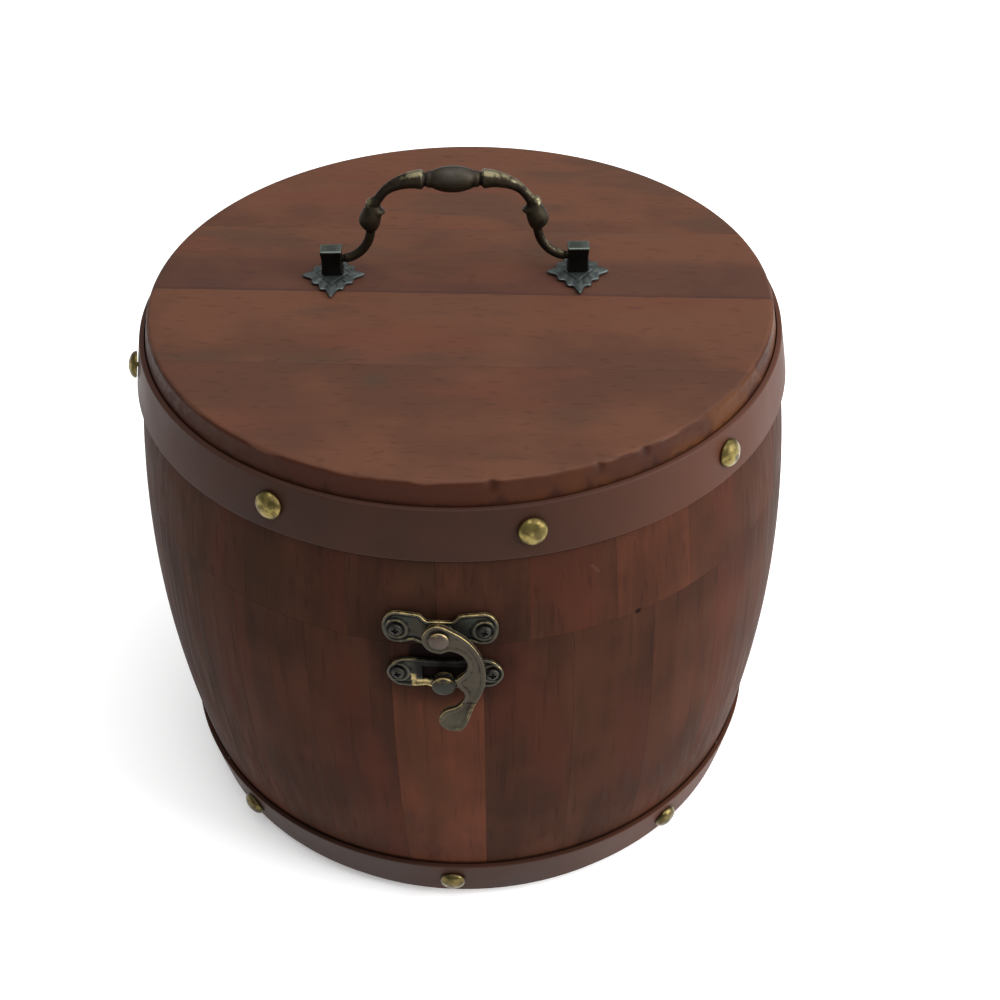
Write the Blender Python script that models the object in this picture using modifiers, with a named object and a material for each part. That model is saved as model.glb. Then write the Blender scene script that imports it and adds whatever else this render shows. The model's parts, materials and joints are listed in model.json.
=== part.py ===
# Wooden tea canister: a small stave barrel with a hinged lid, two leather bands held by
# brass tacks, a swing hook latch in front, a butt hinge behind and a drop handle on top.
# Frame: origin at the middle of the underside, +Z up, the latch faces -Y. Units: metres.

import math

import bmesh
import bpy
from mathutils import Matrix, Vector

# Barrel
HEIGHT = 0.148              # floor to the lid's top face
FOOT_RADIUS = 0.0795        # outer radius of the staves at the floor
BELLY_RADIUS = 0.0884       # outer radius halfway up
RIM_RADIUS = 0.0802         # outer radius at the lid's top face
WALL = 0.008                # stave thickness
LID_DEPTH = 0.0434          # the lid's top face down to where it parts from the body
SEAM_HEIGHT = HEIGHT - LID_DEPTH
GAP = 0.0003                # air left between two touching pieces
EDGE_CHAMFER = 0.0005       # broken corners of the stave ends

# Boards
BASE_THICKNESS = 0.008
RABBET = 0.002              # how far the base board reaches into the staves
TOP_THICKNESS = 0.008
TOP_EDGE_ROUND = 0.0014     # rounded rim of the lid's top
BOARD_WIDTH = 0.0328        # of the lid's two full boards
FRONT_JOINT = -0.0358       # y of the joint nearest the latch
JOINTS = 3

# Leather bands
BAND_WIDTH = 0.013
BAND_THICKNESS = 0.0012
TOP_BAND_DROP = 0.0058      # top face of the lid to the band's upper edge
FOOT_BAND_LIFT = 0.0035     # floor to the foot band's lower edge
BAND_SLIT = 0.0006          # where the strap's two ends meet, behind

# Brass tacks
TACK_RADIUS = 0.0035
TACK_DOME = 0.0020
TACK_SHANK_RADIUS = 0.0006
TACK_DEPTH = 0.0055         # how far the shank goes into the wood
TOP_TACKS = (14.5, 52.1, 108.0, 146.8, 192.5, 238.3, 284.0, 332.5)    # degrees from the latch
FOOT_TACKS = (0.0, 45.0, 90.0, 135.0, 180.0, 225.0, 270.0, 315.0)

# Small wood screws of the latch and the hinge
SCREW_HEAD_RADIUS = 0.0016
SCREW_HEAD_HEIGHT = 0.0007
SCREW_SHANK_RADIUS = 0.0007
SCREW_DEPTH = 0.005

# Latch
PLATE_THICKNESS = 0.0009
UPPER_PLATE_RISE = 0.0050   # seam to the middle of the hook plate, up the wall
LOWER_PLATE_DROP = 0.0081   # seam to the middle of the catch plate, down the wall
LOWER_PLATE_SHIFT = 0.0009  # the catch plate sits a little right of the hook plate
UPPER_EAR = 0.0102          # middle of the plate to its screw
LOWER_EAR = 0.0111
BOSS_RADIUS = 0.0026        # raised round seat under the hook
HOOK_STANDOFF = 0.0028      # wall to the back of the hook
HOOK_THICKNESS = 0.0014
RIVET_RADIUS = 0.0012
RIVET_HEAD_RADIUS = 0.0024
RIVET_HEAD_HEIGHT = 0.0010
RIVET_BACK_HEIGHT = 0.0008
KNOB_RADIUS = 0.0027
KNOB_REACH = 0.0040         # wall to the front of the catch knob
KNOB_SIDE = -0.0003         # knob's place from the middle of the catch plate
KNOB_DROP = 0.0017
TAIL_LIFT = 0.0014          # how far the hook's thumb tab is bent away from the wall
TAIL_BEND_START = 0.0190    # rivet down to where the tab begins to bend
TAIL_BEND_LENGTH = 0.0040
WINDOW_SIDES = (-0.0054, 0.0056)    # slot in the catch plate, across and up from its middle
WINDOW_SPAN = (-0.0017, 0.0024)
BLANK_REACH = 0.006         # how far the plates' outlines are cut to both sides of the wall
KNOB_NECK = 0.85            # the knob's waist as a share of its radius
KNOB_FRONT = ((0.6, 0.0001), (0.92, 0.0004), (1.0, 0.0010), (KNOB_NECK, 0.0018))

# Right half of each plate's outline, from the middle of its top edge to the middle of its foot.
# An ear's points are measured from its screw.
HOOK_PLATE_TOP = ((0.0, 0.0030), (0.0026, 0.0029), (0.0035, 0.0034), (0.0048, 0.0046))
HOOK_PLATE_EAR = ((-0.0022, 0.0049), (0.0008, 0.0048), (0.0027, 0.0031), (0.0034, 0.0006),
                  (0.0028, -0.0020), (0.0012, -0.0035), (-0.0012, -0.0036))
HOOK_PLATE_FOOT = ((0.0062, -0.0028), (0.0034, -0.0040), (0.0, -0.0046))
CATCH_PLATE_TOP = ((0.0, 0.0043), (0.0048, 0.0046))
CATCH_PLATE_EAR = ((-0.0012, 0.0043), (0.0018, 0.0022), (0.0027, -0.0006), (0.0008, -0.0036),
                   (-0.0030, -0.0040))
CATCH_PLATE_FOOT = ((0.0046, -0.0034), (0.0026, -0.0040), (0.0, -0.0043))

# The swing hook's outline from its rivet: down the bowed arm, round the thumb tab, up past the
# lobe that catches the knob, round the eye
HOOK_ARM_OUTSIDE = ((0.0040, 0.0019), (0.0065, -0.0001), (0.0086, -0.0029), (0.0100, -0.0061),
                    (0.0106, -0.0096), (0.0106, -0.0126), (0.0101, -0.0149), (0.0090, -0.0178),
                    (0.0077, -0.0204), (0.0064, -0.0238))
HOOK_TAB = ((0.0048, -0.0258), (0.0018, -0.0258), (-0.0001, -0.0244), (-0.0003, -0.0226),
            (0.0011, -0.0210), (0.0036, -0.0201))
HOOK_ARM_INSIDE = ((0.0051, -0.0188), (0.0057, -0.0172), (0.0055, -0.0157), (0.0045, -0.0145),
                   (0.0039, -0.0132), (0.0040, -0.0118), (0.0050, -0.0109), (0.0062, -0.0092),
                   (0.0065, -0.0068), (0.0052, -0.0044), (0.0026, -0.0032))
HOOK_EYE = ((0.0, -0.0040), (-0.0028, -0.0028), (-0.0040, 0.0), (-0.0028, 0.0028), (0.0, 0.0040))

# Hinge
HINGE_WIDTH = 0.026
LEAF_HEIGHT = 0.0105        # hinge axis to the leaf's far edge
LEAF_THICKNESS = 0.0009
KNUCKLE_RADIUS = 0.0017
KNUCKLES = 5
HINGE_PIN_RADIUS = 0.0007
HINGE_SCREW_INSET = 0.0045  # a leaf's side edge to its screw
HINGE_SCREW_DROP = 0.0042   # a leaf's far edge to its screws

# Drop handle
HANDLE_SPACING = 0.064      # screw to screw
HANDLE_SIDE = -0.0017       # middle of the handle from the middle of the lid
HANDLE_BACK = 0.006
HANDLE_YAW = math.radians(3.5)
PIVOT_RISE = 0.0056         # lid's top face to the bail's axis
BAIL_RISE = 0.0222          # axis to the middle of the grip
# Right half of the bail's middle line, as shares of the reach to a post and of the rise
BAIL_SHAPE = ((0.0, 1.0), (0.22, 1.0), (0.36, 0.995), (0.50, 0.94), (0.60, 0.85), (0.68, 0.70),
              (0.725, 0.53), (0.735, 0.36), (0.765, 0.22), (0.83, 0.10), (0.92, 0.02))
KNEE_POINT = 6              # point of the shape that carries the knee's knob
ROD_RADIUS = 0.0012
PIN_RADIUS = 0.0010         # bail ends that turn in the posts
PIN_DEPTH = 0.0030
GRIP = (0.0, 0.0068, 0.0035)        # swellings of the bail: distance from the middle of the
COLLAR = (0.0086, 0.0022, 0.0027)   # grip, half length and radius
TAPER = (0.0075, 0.0110, 0.0022)
KNEE_HALF_LENGTH = 0.0042
KNEE_RADIUS = 0.0026
POST_WIDTH = 0.0058
POST_DEPTH = 0.0044
POST_HEIGHT = 0.0086        # lid's top face to the post's top
POST_EDGE_ROUND = 0.0004
ROSETTE_HALF_WIDTH = 0.0082
ROSETTE_HALF_LENGTH = 0.0110
ROSETTE_THICKNESS = 0.0011
SCALLOP = 0.07              # depth of the rosette's scallops as a share of its size
BOLT_RADIUS = 0.0012        # screws that hold the posts, from inside the lid
BOLT_HEAD_RADIUS = 0.0030
BOLT_HEAD_HEIGHT = 0.0016
BOLT_GRIP = 0.0017          # how far the bolt goes into the post

# Facets
ROUND_STEPS = 64            # round the barrel
SMALL_STEPS = 10            # round a tack, screw or pin
KNUCKLE_STEPS = 16
ROUTE_STEPS = 3             # between two points of the bail's route

# Colours
LID_WOOD = (0.120, 0.055, 0.036)
SIDE_WOOD = (0.095, 0.036, 0.024)
INNER_WOOD = (0.230, 0.120, 0.065)
LEATHER = (0.100, 0.045, 0.036)
BRASS = (0.480, 0.360, 0.110)
BRONZE = (0.110, 0.090, 0.060)
STEEL = (0.420, 0.410, 0.390)


# Scene helpers

def clear_scene():
    for obj in list(bpy.data.objects):
        bpy.data.objects.remove(obj, do_unlink=True)


def add_collection(name):
    collection = bpy.data.collections.new(name)
    bpy.context.scene.collection.children.link(collection)
    return collection


def add_finish(obj, colour, roughness, metallic):
    """Give the object a material of its own."""
    finish = bpy.data.materials.new(obj.name + "_finish")
    finish.use_nodes = True
    shader = finish.node_tree.nodes["Principled BSDF"]
    shader.inputs["Base Color"].default_value = (*colour, 1.0)
    shader.inputs["Roughness"].default_value = roughness
    shader.inputs["Metallic"].default_value = metallic
    obj.data.materials.clear()
    obj.data.materials.append(finish)


def wooden(obj, colour):
    add_finish(obj, colour, 0.45, 0.0)


def bronzed(obj):
    add_finish(obj, BRONZE, 0.40, 0.9)


def add_part(name, data, place=None):
    """Link a finished shape as a visible part."""
    obj = bpy.data.objects.new(name, data)
    parts.objects.link(obj)
    if place is not None:
        obj.matrix_world = place
    return obj


def add_cutter(name, data, place=None):
    """Link a shape that only cuts others."""
    obj = bpy.data.objects.new(name, data)
    cutters.objects.link(obj)
    obj.hide_render = True
    obj.display_type = "WIRE"
    if place is not None:
        obj.matrix_world = place
    return obj


def boolean(obj, tool, operation):
    step = obj.modifiers.new(tool.name, "BOOLEAN")
    step.operation = operation
    step.solver = "EXACT"
    step.object = tool


def cut(obj, tool):
    boolean(obj, tool, "DIFFERENCE")


def join(obj, tool):
    boolean(obj, tool, "UNION")


def keep_inside(obj, tool):
    boolean(obj, tool, "INTERSECT")


# Shape helpers

def outline_mesh(name, outline, closed):
    """Edges through (radius, height) points, ready for a Screw modifier."""
    mesh = bpy.data.meshes.new(name)
    bm = bmesh.new()
    points = [bm.verts.new((radius, 0.0, height)) for radius, height in outline]
    for first, second in zip(points, points[1:]):
        bm.edges.new((first, second))
    if closed:
        bm.edges.new((points[-1], points[0]))
    bm.to_mesh(mesh)
    bm.free()
    return mesh


def turn(obj, steps):
    """Spin the object's outline round its own Z axis."""
    lathe = obj.modifiers.new("turn", "SCREW")
    lathe.axis = "Z"
    lathe.angle = 2.0 * math.pi
    lathe.steps = steps
    lathe.render_steps = steps
    lathe.use_merge_vertices = True
    lathe.merge_threshold = 0.00001
    lathe.use_smooth_shade = True


def solid_mesh(name, build):
    """A mesh made by calling build(bm), shaded smooth with sharp corners."""
    mesh = bpy.data.meshes.new(name)
    bm = bmesh.new()
    build(bm)
    bm.to_mesh(mesh)
    bm.free()
    mesh.shade_smooth()
    mesh.set_sharp_from_angle(angle=math.radians(35.0))
    return mesh


def add_block(bm, low, high, place=None):
    """A box between two corners."""
    low = Vector(low)
    high = Vector(high)
    size = Matrix.Diagonal((*(high - low), 1.0))
    middle = Matrix.Translation((low + high) / 2.0)
    bmesh.ops.create_cube(bm, size=1.0, matrix=(place or Matrix()) @ middle @ size)


def add_drum(bm, radius, low, high, place=None, steps=SMALL_STEPS):
    """A cylinder along Z from low to high."""
    middle = Matrix.Translation((0.0, 0.0, (low + high) / 2.0))
    bmesh.ops.create_cone(bm, cap_ends=True, segments=steps, radius1=radius, radius2=radius,
                          depth=high - low, matrix=(place or Matrix()) @ middle)


def block_mesh(name, low, high):
    return solid_mesh(name, lambda bm: add_block(bm, low, high))


def drum_mesh(name, radius, low, high, steps=SMALL_STEPS):
    return solid_mesh(name, lambda bm: add_drum(bm, radius, low, high, None, steps))


def mesh_of(curve_object):
    """Turn a curve object into a welded mesh and remove the curve."""
    graph = bpy.context.evaluated_depsgraph_get()
    mesh = bpy.data.meshes.new_from_object(curve_object.evaluated_get(graph))
    bpy.data.objects.remove(curve_object, do_unlink=True)
    bm = bmesh.new()
    bm.from_mesh(mesh)
    bmesh.ops.remove_doubles(bm, verts=bm.verts, dist=0.000005)
    bmesh.ops.recalc_face_normals(bm, faces=bm.faces)
    bm.to_mesh(mesh)
    bm.free()
    mesh.shade_smooth()
    mesh.set_sharp_from_angle(angle=math.radians(35.0))
    return mesh


def plate_mesh(name, outlines, low, high):
    """A flat plate from closed outlines in XY, inner ones being holes, from low to high in Z."""
    curve = bpy.data.curves.new(name, "CURVE")
    curve.dimensions = "2D"
    curve.fill_mode = "BOTH"
    curve.extrude = (high - low) / 2.0
    for outline in outlines:
        spline = curve.splines.new("POLY")
        spline.points.add(len(outline) - 1)
        for point, (x, y) in zip(spline.points, outline):
            point.co = (x, y, 0.0, 1.0)
        spline.use_cyclic_u = True
    flat = bpy.data.objects.new(name, curve)
    parts.objects.link(flat)
    mesh = mesh_of(flat)
    mesh.transform(Matrix.Translation((0.0, 0.0, (low + high) / 2.0)))
    return mesh


def circle(radius, centre=(0.0, 0.0), steps=SMALL_STEPS):
    turns = [2.0 * math.pi * i / steps for i in range(steps)]
    return [(centre[0] + radius * math.cos(a), centre[1] + radius * math.sin(a)) for a in turns]


def smooth_between(before, first, second, after, share):
    """A point on the smooth curve from first to second (Catmull-Rom)."""
    result = []
    for a, b, c, d in zip(before, first, second, after):
        result.append(0.5 * (2.0 * b + (c - a) * share + (2.0 * a - 5.0 * b + 4.0 * c - d) * share ** 2
                             + (3.0 * b - a - 3.0 * c + d) * share ** 3))
    return tuple(result)


def smooth_loop(points, steps=2):
    """A rounded closed outline through the points."""
    count = len(points)
    result = []
    for i in range(count):
        around = [points[(i + k) % count] for k in (-1, 0, 1, 2)]
        result += [smooth_between(*around, step / steps) for step in range(steps)]
    return result


def mirrored(half):
    """A left-right symmetric outline from its right half, whose first and last points are on x = 0."""
    return half + [(-x, y) for x, y in reversed(half[1:-1])]


# Barrel shape

def barrel_radius(height):
    """Outer radius of the staves: a parabola through foot, belly and rim."""
    t = height / HEIGHT
    return (FOOT_RADIUS * (1.0 - t) * (1.0 - 2.0 * t) + BELLY_RADIUS * 4.0 * t * (1.0 - t)
            + RIM_RADIUS * t * (2.0 * t - 1.0))


def barrel_lean(height):
    """How far the wall leans in at this height, as an angle from upright."""
    t = height / HEIGHT
    slope = (FOOT_RADIUS * (4.0 * t - 3.0) + BELLY_RADIUS * (4.0 - 8.0 * t)
             + RIM_RADIUS * (4.0 * t - 1.0)) / HEIGHT
    return math.atan(-slope)


def wall_frame(turned_by, height):
    """Place on the outer wall: X goes round to the right, Y up the wall, Z straight out."""
    face = Matrix.Translation((0.0, -barrel_radius(height), height))
    upright = Matrix.Rotation(math.pi / 2.0 - barrel_lean(height), 4, "X")
    return Matrix.Rotation(turned_by, 4, "Z") @ face @ upright


def wall_line(top, bottom, offset, steps):
    """Points down the wall at a distance from its outer face."""
    heights = [top + (bottom - top) * i / steps for i in range(steps + 1)]
    return [(barrel_radius(z) + offset, z) for z in heights]


def stave_outline(top, bottom, steps, foot=None):
    """Cross-section of a stave ring: down the outside, across, up the inside."""
    corner = EDGE_CHAMFER
    outside = wall_line(top - corner, bottom + corner, 0.0, steps)
    above = [(barrel_radius(top) - corner, top)]
    below = [(barrel_radius(bottom) - corner, bottom)]
    if not foot:
        return above + outside + below + wall_line(bottom, top, -WALL, steps)
    return above + outside + below + foot + wall_line(foot[-1][1], top, -WALL, steps)[1:]


# Body

def hole_cutter(name, places, radius, depth, reach):
    """Round holes along Z of each place, from depth inside to reach outside."""
    def build(bm):
        for place in places:
            add_drum(bm, radius, -depth, reach, place, 8)
    return add_cutter(name, solid_mesh(name, build))


def tack_places(turns, height):
    return [wall_frame(math.radians(turn), height) for turn in turns]


def build_tack(name, place):
    """A domed brass tack whose head lies on the band."""
    seat = BAND_THICKNESS + 2.0 * GAP
    angles = [0.0, math.pi / 4.0]
    dome = [(TACK_RADIUS * math.sin(a), seat + TACK_DOME * math.cos(a)) for a in angles]
    rim = [(TACK_RADIUS, seat + 0.2 * TACK_DOME), (TACK_RADIUS, seat)]
    shank = [(TACK_SHANK_RADIUS, seat), (TACK_SHANK_RADIUS, -TACK_DEPTH + 2.0 * TACK_SHANK_RADIUS),
             (0.0, -TACK_DEPTH)]
    tack = add_part(name, outline_mesh(name, dome + rim + shank, False), place)
    turn(tack, SMALL_STEPS)
    add_finish(tack, BRASS, 0.30, 1.0)


def build_band(name, bottom, tack_holes):
    """A leather strap round the barrel, its ends meeting behind."""
    top = bottom + BAND_WIDTH
    outside = wall_line(top, bottom, GAP + BAND_THICKNESS, 2)
    inside = wall_line(bottom, top, GAP, 2)
    band = add_part(name, outline_mesh(name, outside + inside, True))
    turn(band, ROUND_STEPS)
    reach = barrel_radius(bottom + BAND_WIDTH / 2.0)
    slit = block_mesh(name + "_slit", (-BAND_SLIT / 2.0, reach - WALL, bottom - WALL),
                      (BAND_SLIT / 2.0, reach + WALL, top + WALL))
    cut(band, tack_holes)
    cut(band, add_cutter(name + "_slit", slit))
    add_finish(band, LEATHER, 0.55, 0.0)


def build_banded(prefix, ring, bottom, turns):
    """A band on a stave ring with its row of tacks."""
    places = tack_places(turns, bottom + BAND_WIDTH / 2.0)
    holes = hole_cutter(prefix + "_tack_holes", places, TACK_SHANK_RADIUS + GAP,
                        TACK_DEPTH + GAP, BAND_THICKNESS + 3.0 * GAP)
    build_band(prefix + "_band", bottom, holes)
    cut(ring, holes)
    for i, place in enumerate(places):
        build_tack(f"{prefix}_tack_{i + 1}", place)


def build_base():
    """The body's staves and the board let into their foot."""
    ledge = BASE_THICKNESS + GAP
    inner = barrel_radius(ledge) - WALL
    rabbet = [(inner + RABBET, 0.0), (inner + RABBET, ledge), (inner, ledge)]
    outline = stave_outline(SEAM_HEIGHT - GAP / 2.0, 0.0, 7, rabbet)
    staves = add_part("body_staves", outline_mesh("body_staves", outline, True))
    turn(staves, ROUND_STEPS)
    wooden(staves, SIDE_WOOD)
    rim = inner + RABBET - GAP
    board = [(0.0, BASE_THICKNESS), (rim, BASE_THICKNESS), (rim, 0.0), (0.0, 0.0)]
    base = add_part("base_board", outline_mesh("base_board", board, False))
    turn(base, ROUND_STEPS)
    wooden(base, INNER_WOOD)
    build_banded("foot", staves, FOOT_BAND_LIFT, FOOT_TACKS)
    return staves


# Lid

def lid_disc_outline():
    """Half cross-section of the lid's top: a disc with a rounded rim, following the barrel."""
    corner = TOP_EDGE_ROUND
    underside = HEIGHT - TOP_THICKNESS
    bend = [math.pi / 2.0 * i / 3 for i in range(4)]
    rounding = [(barrel_radius(HEIGHT - corner) - corner + corner * math.sin(a),
                 HEIGHT - corner + corner * math.cos(a)) for a in bend]
    side = wall_line(HEIGHT - corner, underside, 0.0, 2)[1:]
    return [(0.0, HEIGHT)] + rounding + side + [(0.0, underside)]


def build_lid():
    """The lid's staves, its top boards and the band."""
    underside = HEIGHT - TOP_THICKNESS
    outline = stave_outline(underside - GAP, SEAM_HEIGHT + GAP / 2.0, 4)
    staves = add_part("lid_staves", outline_mesh("lid_staves", outline, True))
    turn(staves, ROUND_STEPS)
    wooden(staves, SIDE_WOOD)
    joints = [FRONT_JOINT + BOARD_WIDTH * i for i in range(JOINTS)]
    edges = [-2.0 * RIM_RADIUS] + joints + [2.0 * RIM_RADIUS]
    boards = []
    for i, (front, back) in enumerate(zip(edges, edges[1:])):
        name = f"lid_board_{i + 1}"
        board = add_part(name, outline_mesh(name, lid_disc_outline(), False))
        turn(board, ROUND_STEPS)
        strip = block_mesh(name + "_strip", (-2.0 * RIM_RADIUS, front + GAP / 2.0, underside - WALL),
                           (2.0 * RIM_RADIUS, back - GAP / 2.0, HEIGHT + WALL))
        keep_inside(board, add_cutter(name + "_strip", strip))
        wooden(board, LID_WOOD)
        boards.append((board, front, back))
    bottom = HEIGHT - TOP_BAND_DROP - BAND_WIDTH
    build_banded("lid", staves, bottom, TOP_TACKS)
    return staves, boards


# Small screws

def build_screw(name, place, seat):
    """A round-head wood screw whose head lies on the plate at height seat."""
    top = seat + GAP
    head = [(0.0, top + SCREW_HEAD_HEIGHT), (0.6 * SCREW_HEAD_RADIUS, top + 0.85 * SCREW_HEAD_HEIGHT),
            (SCREW_HEAD_RADIUS, top + 0.3 * SCREW_HEAD_HEIGHT), (SCREW_HEAD_RADIUS, top)]
    shank = [(SCREW_SHANK_RADIUS, top), (SCREW_SHANK_RADIUS, -SCREW_DEPTH + 2.0 * SCREW_SHANK_RADIUS),
             (0.0, -SCREW_DEPTH)]
    screw = add_part(name, outline_mesh(name, head + shank, False), place)
    turn(screw, SMALL_STEPS)
    bronzed(screw)


def screw_holes(name, places):
    return hole_cutter(name, places, SCREW_SHANK_RADIUS + GAP, SCREW_DEPTH + GAP, 2.0 * WALL)


# Latch

def wall_shell(name):
    """A thin skin that lies on the wall round the seam, from which the latch plates are cut."""
    reach = UPPER_PLATE_RISE + LOWER_PLATE_DROP
    top = SEAM_HEIGHT + reach
    bottom = SEAM_HEIGHT - reach
    outside = wall_line(top, bottom, GAP + PLATE_THICKNESS, 4)
    inside = wall_line(bottom, top, GAP, 4)
    shell = add_part(name, outline_mesh(name, outside + inside, True))
    turn(shell, ROUND_STEPS)
    return shell


def plate_outline(top, ear, ear_side, foot):
    """A latch plate's whole outline from the parts of its right half."""
    half = list(top) + [(ear_side + x, y) for x, y in ear] + list(foot)
    return smooth_loop(mirrored(half))


def hook_plate_outline():
    """Bow-shaped plate: two round ears, a tab on top and a rounded belly under the rivet."""
    return plate_outline(HOOK_PLATE_TOP, HOOK_PLATE_EAR, UPPER_EAR, HOOK_PLATE_FOOT)


def catch_plate_outline():
    """The lower plate: two round ears joined by a broad strap."""
    return plate_outline(CATCH_PLATE_TOP, CATCH_PLATE_EAR, LOWER_EAR, CATCH_PLATE_FOOT)


def hook_outline():
    """The swing hook seen from the front, its rivet at the origin: bowed arm, tab, lobe and eye."""
    return smooth_loop(HOOK_ARM_OUTSIDE + HOOK_TAB + HOOK_ARM_INSIDE + HOOK_EYE)


def bend_tab(mesh):
    """Bend the hook's thumb tab away from the wall, more towards its tip."""
    for vertex in mesh.vertices:
        share = (-TAIL_BEND_START - vertex.co.y) / TAIL_BEND_LENGTH
        vertex.co.z += TAIL_LIFT * min(max(share, 0.0), 2.0) ** 0.8
    mesh.update()


def build_latch(body_staves, lid_staves):
    seam = wall_frame(0.0, SEAM_HEIGHT)
    upper = seam @ Matrix.Translation((0.0, UPPER_PLATE_RISE, 0.0))
    lower = seam @ Matrix.Translation((LOWER_PLATE_SHIFT, -LOWER_PLATE_DROP, 0.0))
    skin = GAP + PLATE_THICKNESS

    plate = wall_shell("hook_plate")
    blank = plate_mesh("hook_plate_blank", [hook_plate_outline()], -BLANK_REACH, BLANK_REACH)
    keep_inside(plate, add_cutter("hook_plate_blank", blank, upper))
    boss = drum_mesh("hook_boss", BOSS_RADIUS, skin - 0.5 * PLATE_THICKNESS, HOOK_STANDOFF - GAP, 24)
    join(plate, add_cutter("hook_boss", boss, upper))
    rivet_hole = drum_mesh("rivet_hole", RIVET_RADIUS + GAP, -WALL / 2.0, WALL)
    cut(plate, add_cutter("rivet_hole", rivet_hole, upper))
    bronzed(plate)

    catch = wall_shell("catch_plate")
    blank = plate_mesh("catch_plate_blank", [catch_plate_outline()], -BLANK_REACH, BLANK_REACH)
    keep_inside(catch, add_cutter("catch_plate_blank", blank, lower))
    window = block_mesh("catch_window", (WINDOW_SIDES[0], WINDOW_SPAN[0], -BLANK_REACH),
                        (WINDOW_SIDES[1], WINDOW_SPAN[1], BLANK_REACH))
    cut(catch, add_cutter("catch_window", window, lower))
    knob = turned_knob("catch_knob")
    knob.matrix_world = lower @ Matrix.Translation((KNOB_SIDE, -KNOB_DROP, 0.0))
    join(catch, knob)
    bronzed(catch)

    build_hook(upper)
    build_rivet(upper)
    recess = drum_mesh("rivet_recess", RIVET_HEAD_RADIUS + GAP, -RIVET_BACK_HEIGHT - 2.0 * GAP, WALL)
    cut(lid_staves, add_cutter("rivet_recess", recess, upper))

    for side, sign in (("left", -1.0), ("right", 1.0)):
        for where, plate_part, wood, place, ear in (("hook", plate, lid_staves, upper, UPPER_EAR),
                                                    ("catch", catch, body_staves, lower, LOWER_EAR)):
            spot = wall_spot(place, sign * ear)
            holes = screw_holes(f"{where}_hole_{side}", [spot])
            cut(plate_part, holes)
            cut(wood, holes)
            build_screw(f"{where}_screw_{side}", spot, skin)


def wall_spot(place, side):
    """The place on the curved wall that lies sideways of another place on it."""
    spot = place @ Vector((side, 0.0, 0.0))
    return wall_frame(math.atan2(spot.x, -spot.y), spot.z)


def turned_knob(name):
    """The catch knob: a short stud with a rounded front."""
    foot = GAP + 0.25 * PLATE_THICKNESS
    front = [(share * KNOB_RADIUS, KNOB_REACH - drop) for share, drop in KNOB_FRONT]
    outline = [(0.0, KNOB_REACH)] + front + [(KNOB_NECK * KNOB_RADIUS, foot), (0.0, foot)]
    knob = add_cutter(name, outline_mesh(name, outline, False))
    turn(knob, 20)
    return knob


def build_hook(place):
    holes = circle(RIVET_RADIUS + GAP, steps=16)
    mesh = plate_mesh("latch_hook", [hook_outline(), holes], HOOK_STANDOFF, HOOK_STANDOFF + HOOK_THICKNESS)
    bend_tab(mesh)
    hook = add_part("latch_hook", mesh, place)
    bronzed(hook)


def build_rivet(place):
    """The rivet through hook and plate, spread flat behind the plate."""
    front = HOOK_STANDOFF + HOOK_THICKNESS + GAP
    outline = [(0.0, front + RIVET_HEAD_HEIGHT), (0.6 * RIVET_HEAD_RADIUS, front + 0.85 * RIVET_HEAD_HEIGHT),
               (RIVET_HEAD_RADIUS, front + 0.35 * RIVET_HEAD_HEIGHT), (RIVET_HEAD_RADIUS, front),
               (RIVET_RADIUS, front), (RIVET_RADIUS, 0.0), (RIVET_HEAD_RADIUS, 0.0),
               (RIVET_HEAD_RADIUS, -RIVET_BACK_HEIGHT), (0.0, -RIVET_BACK_HEIGHT)]
    rivet = add_part("hook_rivet", outline_mesh("hook_rivet", outline, False), place)
    turn(rivet, 16)
    bronzed(rivet)


# Hinge

def hinge_seat_depth():
    """How deep the flat seat is cut, so that it just runs out at the leaf's sides."""
    half = HINGE_WIDTH / 2.0 + GAP
    return half * half / (2.0 * barrel_radius(SEAM_HEIGHT)) + GAP


def hinge_frame():
    """The hinge axis: X along the pin, Y up the wall, Z outwards, at the knuckles' middle."""
    out = GAP + KNUCKLE_RADIUS - hinge_seat_depth()
    return wall_frame(math.pi, SEAM_HEIGHT) @ Matrix.Translation((0.0, 0.0, out))


def knuckle_spans():
    """Start and end of each knuckle along the pin."""
    pitch = HINGE_WIDTH / KNUCKLES
    starts = [-HINGE_WIDTH / 2.0 + pitch * i for i in range(KNUCKLES)]
    return [(start + GAP / 2.0, start + pitch - GAP / 2.0) for start in starts]


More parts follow.
